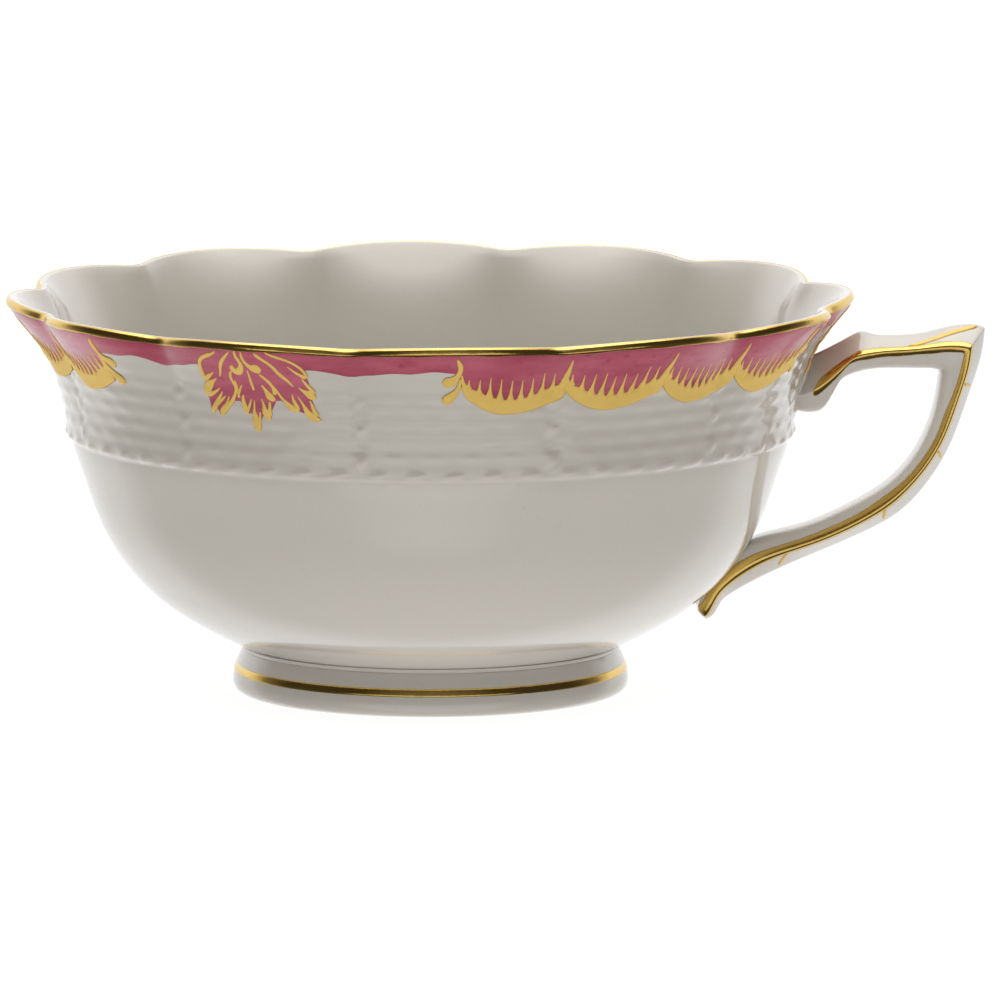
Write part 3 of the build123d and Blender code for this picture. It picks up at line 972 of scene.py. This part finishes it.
    def build(self, shop: Workshop) -> None:
        """Lays every coat of the border."""
        shop.piece("gilt_lip", self.lip_gilding(), Finish.BURNISHED, "rim_gilding")
        columns = ring_angles(self.enamel_columns)
        high = np.full(columns.shape, self.gilding_foot + 0.45)
        low = self.enamel_edge(columns)
        coat = self.brush.wash(np.stack([columns, low], axis=1), np.stack([columns, high], axis=1),
                               rows=26, thick=0.055, closed=True)
        shop.piece("enamel_band", coat, Finish.ENAMEL, "rim_enamel")

        scallops: list[Shape] = []
        for index, centre in enumerate(self.scallop_middles()):
            scallops += self.scallop(float(centre), index)
        shop.piece("gilt_scallops", Shape.joined(scallops), Finish.MATTE, "scallop_gilding")

        flourishes: list[Shape] = []
        reach = np.radians(self.scallops / 2 * self.scallop_angle)
        for middle in self.middles(180 / self.garlands):
            for mirror in (1, -1):
                centre = float(middle - mirror * (reach + np.radians(1.0)))
                flourishes += self.flourish(centre, mirror)
        shop.piece("gilt_flourishes", Shape.joined(flourishes), Finish.MATTE, "flourish_gilding")
        LeafSpray(self.brush).build(shop, self.middles(0))


@dataclass
class LeafSpray:
    """A spray of lobed leaves, enamelled, with gilt veins and gilt tips.

    The strokes are drawn upright, in millimetres from the spray's root. The spray leans on
    the flared band: a point moves back along the rim as it goes down, and up a little as it
    goes to the right. The spray opens out towards its tips.
    """

    brush: Brush
    lean: float = 0.27
    tilt: float = 0.067
    closed: float = 0.84
    opening: float = 0.026
    root: tuple[float, float] = (0.9, 0.3)

    def leaned(self, drawn: Array) -> Array:
        """Points moved from the upright drawing to the leaning spray."""
        down = -drawn[:, 1] - self.tilt * drawn[:, 0]
        along = drawn[:, 0] * (self.closed + self.opening * down) - self.lean * down
        return np.stack([along + self.root[0], self.root[1] - down], axis=1)

    def outline(self) -> Outline:
        """The ground's free edge, drawn upright, from its left end round to its right."""
        return [(-6.6, 0.1), (-8.4, -0.6), (-9.15, -1.4), (-8.9, -2.5), (-8.4, -3.9),
                (-8.1, -5.2), (-7.8, -6.3), (-7.5, -7.0), (-7.0, -8.0), (-6.6, -8.4),
                (-6.1, -7.9), (-5.6, -8.7), (-5.1, -8.7), (-4.4, -7.4), (-3.6, -6.9),
                (-2.8, -6.9), (-2.2, -7.9), (-1.5, -8.5), (-0.9, -8.6), (-0.5, -9.4),
                (0.1, -10.6), (0.5, -9.0), (1.1, -8.4), (1.5, -9.1), (1.8, -8.0), (2.3, -6.9),
                (3.0, -6.9), (3.7, -7.6), (4.5, -8.2), (5.4, -8.3), (6.3, -8.7), (7.6, -9.3),
                (7.4, -8.0), (7.1, -6.9), (7.2, -6.2), (7.0, -5.0), (6.7, -3.7), (5.8, -2.3),
                (4.2, -1.3), (1.6, -0.3)]

    def strokes(self) -> list[Stroke]:
        """Every gilt stroke of one spray, drawn upright."""
        return [
            stroke([(-6.4, 0.2), (-7.3, -0.2), (-8.4, -0.5), (-9.25, -1.4), (-9.0, -2.4),
                    (-8.5, -3.8)], 0.2, 0.55, 0.5, 0.5, 0.7),
            stroke([(-8.4, -3.8), (-7.9, -3.4), (-6.9, -2.8)], 0.75, 0.55, 0.15),
            stroke([(-4.2, 0.1), (-5.0, -0.7), (-5.6, -1.6), (-5.75, -2.6), (-5.9, -3.5)],
                   0.15, 0.4, 0.5, 0.35, 0.2),
            stroke([(-6.4, -3.6), (-7.3, -4.2), (-7.9, -4.9), (-7.9, -6.1)],
                   0.15, 0.5, 1.15, 1.2, 0.8),
            stroke([(-7.8, -6.0), (-7.05, -5.7), (-5.9, -5.0)], 0.8, 0.5, 0.12),
            stroke([(-5.5, -5.4), (-6.2, -6.9), (-6.8, -8.5)], 0.12, 0.5, 0.8, 0.55),
            stroke([(-6.3, -7.3), (-5.6, -6.7), (-5.0, -6.05)], 0.6, 0.42, 0.12),
            stroke([(-5.3, -8.9), (-5.0, -7.9), (-4.2, -7.1), (-3.6, -6.0), (-3.5, -4.9),
                    (-4.0, -3.9), (-4.2, -3.0), (-3.9, -2.5)],
                   0.7, 1.0, 0.65, 0.42, 0.4, 0.4, 0.3),
            stroke([(-4.9, -7.8), (-4.7, -6.9), (-4.45, -6.1)], 0.5, 0.3, 0.12),
            stroke([(-3.6, -3.9), (-3.35, -4.9), (-3.3, -5.7)], 0.3, 0.38, 0.3),
            stroke([(-3.4, 0.3), (-3.1, -0.6), (-2.5, -1.5), (-2.5, -2.3), (-3.1, -2.7),
                    (-3.75, -2.3), (-3.8, -1.75)], 0.3, 0.42, 0.5, 0.65, 1.0, 0.9, 0.5),
            stroke([(-2.4, 0.1), (-2.0, -1.05), (-1.45, -1.75), (-0.6, -2.3), (0.5, -2.75)],
                   0.2, 0.4, 0.5, 1.05, 0.7),
            stroke([(-0.75, -1.8), (-0.1, -2.15), (0.5, -2.65)], 0.4, 0.8, 0.5),
            stroke([(-0.1, -3.0), (0.9, -3.7), (1.7, -4.6), (2.5, -5.6), (3.5, -6.9),
                    (4.45, -7.8), (5.5, -8.2)], 0.3, 0.42, 0.5, 0.3, 0.45, 0.95, 0.45),
            stroke([(-1.6, -2.4), (-1.2, -3.8), (-0.8, -5.4)], 0.15, 0.36, 0.4),
            stroke([(-2.9, -6.4), (-3.0, -5.7), (-2.5, -4.6)], 0.35, 0.42, 0.12),
            stroke([(-2.3, -5.85), (-2.3, -6.9), (-1.85, -7.9), (-1.5, -8.65)],
                   0.2, 0.55, 0.95, 0.5),
            stroke([(-1.2, -6.5), (-1.4, -7.5), (-1.6, -8.2)], 0.12, 0.38, 0.5),
            stroke([(-0.8, -6.5), (-0.55, -8.45), (-0.25, -9.8), (0.2, -11.05)],
                   0.1, 0.38, 1.1, 0.75),
            stroke([(0.2, -8.2), (0.15, -9.3), (0.1, -10.4)], 0.15, 0.48, 0.75),
            stroke([(0.2, -6.4), (0.75, -7.8), (1.1, -8.7), (1.6, -9.5)], 0.12, 0.42, 1.1, 0.65),
            stroke([(1.4, -6.9), (1.45, -7.8), (1.5, -8.9)], 0.3, 0.5, 0.75),
            stroke([(0.3, -4.55), (0.9, -5.4), (1.4, -6.1), (2.2, -6.8)], 0.25, 0.5, 1.15, 0.9),
            stroke([(1.3, -3.9), (1.9, -4.9), (2.2, -6.0)], 0.25, 0.5, 0.6),
            stroke([(4.5, -5.9), (4.7, -6.9), (5.4, -8.1)], 0.15, 0.5, 0.6),
            stroke([(-0.5, -0.1), (0.6, -0.9), (2.1, -2.0), (3.1, -3.2), (3.9, -3.9),
                    (4.9, -5.1)], 0.5, 0.42, 0.45, 0.55, 0.42, 0.15),
            stroke([(5.1, -6.1), (6.1, -7.8), (6.8, -8.9), (8.15, -9.6)], 0.1, 0.38, 1.15, 0.5),
            stroke([(6.8, -6.8), (7.2, -8.0), (7.7, -9.1)], 0.2, 0.5, 0.75),
            stroke([(5.35, -5.0), (6.1, -5.6), (6.9, -6.1), (7.6, -6.7)], 0.12, 0.5, 1.15, 0.7),
            stroke([(5.95, -3.8), (6.8, -5.0), (7.5, -6.0)], 0.15, 0.5, 0.65),
            stroke([(1.0, 0.0), (2.5, -0.6), (4.2, -1.2), (5.55, -1.95), (6.4, -2.8),
                    (6.85, -3.9)], 0.2, 0.4, 0.36, 0.4, 0.42, 0.35),
            stroke([(4.1, -2.0), (5.4, -3.0), (6.7, -3.8)], 0.1, 0.38, 0.62),
        ]

    def build(self, shop: Workshop, middles: Array) -> None:
        """Lays the ground and the gilding of every spray."""
        edge = np.array(self.outline())
        place = np.linspace(0, len(edge) - 1, 240)
        low = np.stack([np.interp(place, np.arange(len(edge)), edge[:, k]) for k in (0, 1)], 1)
        high = np.stack([np.linspace(-6.2, 1.2, len(low)), np.full(len(low), 0.35)], axis=1)
        low, high = self.leaned(low), self.leaned(high)
        marks = [Stroke(tuple(map(tuple, self.leaned(np.array(mark.path)).tolist())), mark.widths)
                 for mark in self.strokes()]
        grounds: list[Shape] = []
        gilding: list[Shape] = []
        for middle in middles:
            sides = [np.stack([float(middle) + self.brush.angle(line[:, 0]),
                               self.brush.top + line[:, 1]], axis=1) for line in (low, high)]
            grounds.append(self.brush.wash(*sides, rows=30, thick=0.075, closed=False))
            gilding += [self.brush.laid(mark, float(middle)) for mark in marks]
        shop.piece("leaf_grounds", Shape.joined(grounds), Finish.ENAMEL, "leaf_enamel")
        shop.piece("gilt_leaves", Shape.joined(gilding), Finish.MATTE, "leaf_gilding")


# ---- the handle -------------------------------------------------------------------------

@dataclass(frozen=True)
class Station:
    """A section of the strap: its outer and inner points, its arrises and its width.

    The share is how far the arrises lie from the outer point to the inner one. The width
    is a share of the widest section's.
    """

    crown: tuple[float, float]
    inner: tuple[float, float]
    share: float
    width: float


@dataclass
class Handle:
    """An angular strap of five-sided section, with a thumb step and a kicked tail."""

    reach: float
    half_width: float
    steps: int = 150
    softness: int = 6
    line_width: float = 2.15
    skin: float = 0.09

    def runs(self) -> tuple[list[Station], list[Station]]:
        """The top run, from the bowl to the corner, and the side run, down to the tail."""
        corner = Station((self.reach + 0.25, 46.1), (65.0, 40.5), 0.42, 1.0)
        top = [Station((47.8, 42.6), (45.85, 35.9), 0.70, 0.86),
               Station((49.8, 43.5), (47.1, 35.4), 0.66, 0.88),
               Station((52.6, 44.8), (49.4, 35.4), 0.47, 0.89),
               Station((54.7, 45.8), (50.6, 36.7), 0.41, 0.90),
               Station((55.8, 45.75), (51.5, 38.6), 0.42, 0.91),
               Station((57.2, 45.3), (53.1, 40.0), 0.41, 0.92),
               Station((59.4, 45.2), (56.2, 40.8), 0.40, 0.94),
               Station((62.8, 45.45), (59.6, 40.9), 0.40, 0.96),
               Station((66.4, 46.3), (62.3, 40.85), 0.43, 0.98),
               Station((69.6, 46.6), (63.9, 40.8), 0.45, 0.99), corner]
        side = [corner, Station((70.6, 42.2), (64.7, 38.1), 0.45, 0.99),
                Station((69.1, 37.5), (64.1, 35.2), 0.49, 0.97),
                Station((67.4, 32.6), (62.9, 32.0), 0.51, 0.95),
                Station((65.2, 28.0), (60.8, 28.6), 0.56, 0.93),
                Station((61.7, 23.4), (57.6, 25.6), 0.58, 0.91),
                Station((57.3, 20.3), (53.4, 23.2), 0.54, 0.89),
                Station((50.5, 17.3), (47.2, 20.6), 0.50, 0.86),
                Station((43.7, 14.3), (40.6, 18.9), 0.52, 0.80),
                Station((38.6, 11.7), (36.4, 15.1), 0.53, 0.70),
                Station((37.1, 10.4), (35.0, 12.6), 0.52, 0.60),
                Station((36.3, 9.1), (34.2, 10.9), 0.51, 0.48),
                Station((35.3, 8.5), (34.1, 9.7), 0.50, 0.36)]
        return top, side

    def lines(self) -> Array:
        """Crown, inner point, arris share and width at every step, mitred at the corner.

        All of them are splines of one parameter, the number of the station. The inner
        line's mitre is then softened by a running mean with a raised cosine's weights.
        """
        parts = []
        for run in self.runs():
            rows = np.array([(*s.crown, *s.inner, s.share, s.width) for s in run])
            number = np.arange(len(rows), dtype=float)
            parts.append(natural_spline(number, rows, np.linspace(0, number[-1], self.steps)))
        rows = np.concatenate([parts[0], parts[1][1:]])
        shares = np.hanning(self.softness * 2 + 3)[1:-1]
        padded = np.pad(rows[:, 2:4], ((self.softness, self.softness), (0, 0)), mode="edge")
        rows[:, 2:4] = sum(part * padded[k:k + len(rows)]
                           for k, part in enumerate(shares / shares.sum()))
        return rows

    def frame_of(self) -> dict[str, Array]:
        """Section values at every step: both lines, the arris share and the half widths."""
        rows = self.lines()
        half = rows[:, 5] * self.half_width
        return {"crown": rows[:, :2], "inner": rows[:, 2:4], "share": rows[:, 4],
                "half": half, "inner_half": half * 0.7}

    def corners(self) -> Array:
        """The section's five corners at every step: crown, arris, inner, inner, arris."""
        f = self.frame_of()
        arris = f["crown"] + (f["inner"] - f["crown"]) * f["share"][:, None]

        def put(line: Array, y: Array) -> Array:
            """A line of the handle's plane moved sideways."""
            return np.stack([line[:, 0], y, line[:, 1]], axis=1)

        zero = np.zeros(len(arris))
        return np.stack([put(f["crown"], zero), put(arris, f["half"]),
                         put(f["inner"], f["inner_half"]), put(f["inner"], -f["inner_half"]),
                         put(arris, -f["half"])], axis=1)

    def rounded(self, corners: Array, per_corner: int = 6) -> Array:
        """The sections with each corner turned into a quadratic curve between its sides."""
        sizes = np.array([0.24, 0.10, 0.32, 0.32, 0.10])
        before = np.roll(corners, 1, axis=1)
        after = np.roll(corners, -1, axis=1)
        start = corners + (before - corners) * sizes[None, :, None]
        end = corners + (after - corners) * sizes[None, :, None]
        t = np.linspace(0, 1, per_corner)[None, None, :, None]
        arc = ((1 - t) ** 2 * start[:, :, None] + 2 * t * (1 - t) * corners[:, :, None]
               + t**2 * end[:, :, None])
        return arc.reshape(corners.shape[0], -1, 3)

    def gilt_arris(self, side: int) -> Shape:
        """The gilt line along one arris, wrapped over it, with a rounded start and end."""
        corners = self.corners()
        crown = corners[:, 0]
        arris = corners[:, 1] if side > 0 else corners[:, 4]
        inner = corners[:, 2] if side > 0 else corners[:, 3]
        first, last = int(self.steps * 0.125), len(arris) - 3
        crown, arris, inner = crown[first:last], arris[first:last], inner[first:last]
        up = crown - arris
        up /= np.linalg.norm(up, axis=1, keepdims=True)
        down = inner - arris
        down /= np.linalg.norm(down, axis=1, keepdims=True)
        place = np.linspace(0, 1, len(arris))
        half = self.line_width / 2 * (1 + 0.07 * np.sin(place * 37) + 0.04 * np.sin(place * 91))
        half = half * (1 + 0.30 * bump((place - 0.03) / 0.07) + 0.15 * bump((place - 0.98) / 0.05))
        half = half * np.sqrt(np.clip(1 - (1 - np.clip(place / 0.02, 0, 1)) ** 2, 0.02, 1))
        half = half * np.sqrt(np.clip(1 - (1 - np.clip((1 - place) / 0.02, 0, 1)) ** 2, 0.02, 1))
        out = np.array([0.0, float(side), 0.0])
        off_up = out - up * (up @ out)[:, None]
        off_up /= np.linalg.norm(off_up, axis=1, keepdims=True)
        off_down = out - down * (down @ out)[:, None]
        off_down /= np.linalg.norm(off_down, axis=1, keepdims=True)
        h = half[:, None]
        middle = (off_up + off_down) / 2
        ring = np.stack([arris + up * h * 1.05 - off_up * 0.04,
                         arris + up * h * 0.85 + off_up * self.skin,
                         arris + up * h * 0.35 + off_up * self.skin * 0.8,
                         arris + middle * self.skin * 0.35,
                         arris + down * h * 0.35 + off_down * self.skin * 0.8,
                         arris + down * h * 0.95 + off_down * self.skin,
                         arris + down * h * 1.15 - off_down * 0.04,
                         arris - out * 0.45], axis=1)
        edge = np.tile([1.0, 0.35, 0.0, 0.0, 0.0, 0.35, 1.0, 1.0], (len(arris), 1))
        return tube(ring, {"edge": edge})

    def dash(self, at: float, side: int, slant: float, length: float, width: float) -> Shape:
        """A stroke across an outer face, from near an arris towards the crown.

        Args:
            at: where it starts, as a share of the handle's length.
            side: 1 or -1, the arris it starts from.
            slant: how far along it runs, as a share of the handle's length.
            length: how far it reaches, as a share of the face's width.
            width: its width.

        Returns:
            A low closed ridge on the face.
        """
        corners = self.corners()
        place = np.linspace(0, 1, len(corners))
        t = np.linspace(0, 1, 12)
        here = at + slant * t
        rows = np.stack([np.interp(here, place, corners[:, k, axis])
                         for k in (0, 1 if side > 0 else 4) for axis in range(3)], axis=1)
        crown, arris = rows[:, :3], rows[:, 3:]
        share = 0.80 - length * t
        middle = arris + (crown - arris) * (1 - share)[:, None]
        way = np.gradient(middle, axis=0)
        way /= np.linalg.norm(way, axis=1, keepdims=True)
        belt = np.stack([np.interp(here + 0.02, place, corners[:, 0, axis])
                         for axis in range(3)], axis=1) - crown
        normal = np.cross(crown - arris, belt) * side
        normal /= np.linalg.norm(normal, axis=1, keepdims=True)
        across = np.cross(way, normal)
        across /= np.linalg.norm(across, axis=1, keepdims=True)
        half = width / 2 * np.sqrt(np.clip(1 - (2 * t - 1) ** 6, 0.03, 1))[:, None]
        ring = np.stack([middle - across * half - normal * 0.12,
                         middle - across * half * 0.75 + normal * 0.09,
                         middle + normal * 0.13,
                         middle + across * half * 0.75 + normal * 0.09,
                         middle + across * half - normal * 0.12,
                         middle - normal * 0.3], axis=1)
        return tube(ring, {"edge": np.tile([1.0, 0.4, 0.0, 0.4, 1.0, 1.0], (12, 1))})

    def build(self, shop: Workshop) -> None:
        """Builds the strap and its gilding."""
        rings = self.rounded(self.corners())
        shape = tube(rings, {"hollow": np.zeros(rings.shape[:2])})
        shop.piece("strap_handle", shape, Finish.PORCELAIN, "handle")
        shop.piece("gilt_line_near", self.gilt_arris(-1), Finish.BURNISHED, "handle_gilding_near")
        shop.piece("gilt_line_far", self.gilt_arris(1), Finish.BURNISHED, "handle_gilding_far")
        dashes = [self.dash(at, side, slant=0.010, length=0.45, width=0.45)
                  for side, start in ((-1, 0.56), (1, 0.60))
                  for at in np.arange(start, 0.9, 0.085)]
        dashes += [self.dash(0.335, side, slant=0.13, length=0.62, width=0.9)
                   for side in (-1, 1)]
        shop.piece("gilt_dashes", Shape.joined(dashes), Finish.MATTE, "handle_gilding_dashes")


@dataclass
class HandleSlip:
    """The two slip joints: low pads of slip that run out onto the bowl round the strap."""

    cup: Cup
    lift: float = 0.55
    rings: int = 12
    around: int = 96

    def pad(self, low: float, high: float, half_low: float, half_high: float) -> Shape:
        """A pad on the bowl, centred on the handle.

        Its outline is a superellipse whose half width changes from its foot to its head.
        The lift is whole near the middle, where q is almost 0, and falls to nothing at the
        rim, where q = 1, as (1 - q^3)^0.8.

        Args:
            low: height of its foot.
            high: height of its head.
            half_low: half width at the foot.
            half_high: half width at the head.

        Returns:
            The pad, closed by a skin inside the bowl's wall.
        """
        q = np.linspace(1, 0.05, self.rings)[:, None]
        turn = ring_angles(self.around)[None, :]
        up = np.sign(np.sin(turn)) * np.abs(np.sin(turn)) ** 0.7
        across = np.sign(np.cos(turn)) * np.abs(np.cos(turn)) ** 0.7
        z = (low + high) / 2 + (high - low) / 2 * up * q
        half = half_low + (half_high - half_low) * (z - low) / (high - low)
        side = half * across * q
        angle = side / self.cup.radius(z)
        top = self.cup.point(angle, z, self.lift * (1 - q**3) ** 0.8 + 0.01)
        back = self.cup.point(angle[::-1], z[::-1], -0.35)
        rows = np.concatenate([top[::-1], back[::-1]])
        # Painted shade: the whole pad gets a hollow shade share of 0.2, which darkens its slip glaze
        # a little.
        return tube(rows, {"hollow": np.full(rows.shape[:2], 0.2)})

    def build(self, shop: Workshop) -> None:
        """Builds both pads."""
        upper = self.pad(low=34.6, high=43.0, half_low=3.2, half_high=4.7)
        lower = self.pad(low=11.6, high=20.0, half_low=2.2, half_high=3.4)
        shop.piece("upper_slip_joint", upper, Finish.SLIP, "upper_handle_slip")
        shop.piece("lower_slip_joint", lower, Finish.SLIP, "lower_handle_slip")


# ---- the studio -------------------------------------------------------------------------

@dataclass
class Studio:
    """A long lens, a large white floor and a soft room round the cup."""

    azimuth: float = -3.7
    elevation: float = 8.1
    distance: float = 1.9
    lens: float = 537.0
    aim_height: float = 24.4
    aim_right: float = 8.85
    aim_up: float = -0.15

    def back(self) -> Vector:
        """The direction from the cup to the camera."""
        a, e = np.radians(self.azimuth), np.radians(self.elevation)
        return Vector((np.sin(a) * np.cos(e), -np.cos(a) * np.cos(e), np.sin(e)))

    def camera(self) -> None:
        """Places the camera and makes it the scene's."""
        data = bpy.data.cameras.new("studio_camera")
        data.lens = self.lens
        data.sensor_width = 36.0
        data.clip_start = 0.05
        data.clip_end = 400.0
        made = bpy.data.objects.new("studio_camera", data)
        bpy.context.scene.collection.objects.link(made)
        back = self.back()
        right = Vector((0, 0, 1)).cross(back).normalized()
        up = back.cross(right)
        aim = Vector((0, 0, self.aim_height)) + right * self.aim_right + up * self.aim_up
        made.location = aim * MM + back * self.distance
        made.rotation_mode = "QUATERNION"
        made.rotation_quaternion = (-back).to_track_quat("-Z", "Y")
        bpy.context.scene.camera = made

    def floor(self) -> None:
        """A white floor that runs far past the view, bright enough to read as paper white."""
        half = 60.0
        mesh = bpy.data.meshes.new("studio_floor")
        mesh.from_pydata([(-half, -half, 0), (half, -half, 0), (half, half, 0), (-half, half, 0)],
                         [], [(0, 1, 2, 3)])
        made = bpy.data.objects.new("studio_floor", mesh)
        bpy.context.scene.collection.objects.link(made)
        paper = bpy.data.materials.new("white_paper")
        tree = Tree(paper)
        glow = tree.node("ShaderNodeEmission", inputs={"Color": (1, 1, 1, 1), "Strength": 0.93})
        matt = tree.node("ShaderNodeBsdfDiffuse", inputs={"Color": (0.16, 0.16, 0.16, 1)})
        both = tree.node("ShaderNodeAddShader", inputs={0: glow, 1: matt})
        tree.node("ShaderNodeOutputMaterial", inputs={"Surface": both})
        mesh.materials.append(paper)
        made.visible_glossy = False

    def sky(self) -> None:
        """The room: dim at the front sides, bright behind, with a soft panel overhead."""
        world = bpy.data.worlds.new("studio_room")
        bpy.context.scene.world = world
        tree = Tree(world)
        way = tree.node("ShaderNodeTexCoord", output="Generated")
        back = self.back()
        level = Vector((back.x, back.y, 0)).normalized()
        facing = tree.node("ShaderNodeVectorMath", {"operation": "DOT_PRODUCT"},
                           {0: way, 1: level}, output="Value")
        rise = tree.node("ShaderNodeSeparateXYZ", inputs={0: way}, output="Z")
        room = tree.node("ShaderNodeValToRGB", {"stops": [
            (0.0, (1.1, 1.1, 1.1)), (0.17, (1.1, 1.1, 1.1)), (0.30, (0.18, 0.17, 0.16)),
            (0.45, (0.05, 0.045, 0.04)), (0.86, (0.05, 0.045, 0.04)), (0.93, (0.13, 0.125, 0.12)),
            (1.0, (0.20, 0.19, 0.18))]}, {0: facing * 0.5 + 0.5})
        table = tree.node("ShaderNodeValToRGB", {"stops": [
            (0.0, (1.0, 1.0, 1.0)), (0.20, (0.85, 0.85, 0.85)), (0.32, (0.24, 0.23, 0.21)),
            (0.48, (0.07, 0.065, 0.06)), (0.80, (0.07, 0.065, 0.06)), (0.87, (0.80, 0.79, 0.76)),
            (1.0, (0.90, 0.89, 0.86))]}, {0: facing * 0.5 + 0.5})
        above = (rise * 8.0 + 0.7).clamped()
        glow = tree.node("ShaderNodeMix", {"data_type": "RGBA"}, {0: above, 6: table, 7: room},
                         output=2)
        overhead = (rise * 3.6 - 2.2).clamped()
        strength = overhead * overhead * 1.7 + 1.0
        lamp = tree.node("ShaderNodeMix", {"data_type": "RGBA"},
                         {0: overhead, 6: glow, 7: (1.0, 0.985, 0.96, 1)}, output=2)
        background = tree.node("ShaderNodeBackground", inputs={"Color": lamp, "Strength": strength})
        tree.node("ShaderNodeOutputWorld", inputs={"Surface": background})

    def build(self) -> None:
        """Sets the whole studio."""
        self.camera()
        self.floor()
        self.sky()
        bpy.context.scene.view_settings.view_transform = "Standard"


def main() -> None:
    """Builds the studio, then the cup from its bowl to its gilding."""
    logging.basicConfig(level=logging.INFO, format="%(name)s %(message)s")
    Studio().build()
    shop = Workshop()
    bowl_low, bowl_high = (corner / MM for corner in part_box("cup_bowl"))
    slip_low, slip_high = (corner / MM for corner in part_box("foot_slip"))
    gilding_low, _ = (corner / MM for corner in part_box("rim_gilding"))
    line_low, line_high = (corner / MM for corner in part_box("foot_gilding"))
    _, foot_high = (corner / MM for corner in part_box("foot_ring"))
    _, handle_high = (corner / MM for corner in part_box("handle"))
    joint_inner = slip_high.x - SLIP_WIDTH
    cup = Cup(lip_radius=bowl_high.x, lip_height=bowl_high.z, floor=8.9, belly=bowl_low.z,
              foot_joint=(slip_high.x, slip_high.z), foot_joint_inner=joint_inner)
    Bowl(cup).build(shop)
    Foot(joint_radius=slip_high.x, joint_inner=joint_inner, joint_height=slip_high.z,
         slip_height=slip_low.z, line_low=line_low.z, line_high=line_high.z,
         widest=foot_high.x).build(shop)
    Handle(reach=handle_high.x, half_width=handle_high.y).build(shop)
    HandleSlip(cup).build(shop)
    Border(cup, gilding_foot=gilding_low.z).build(shop)
    bpy.context.view_layer.update()


if __name__ == "__main__":
    main()
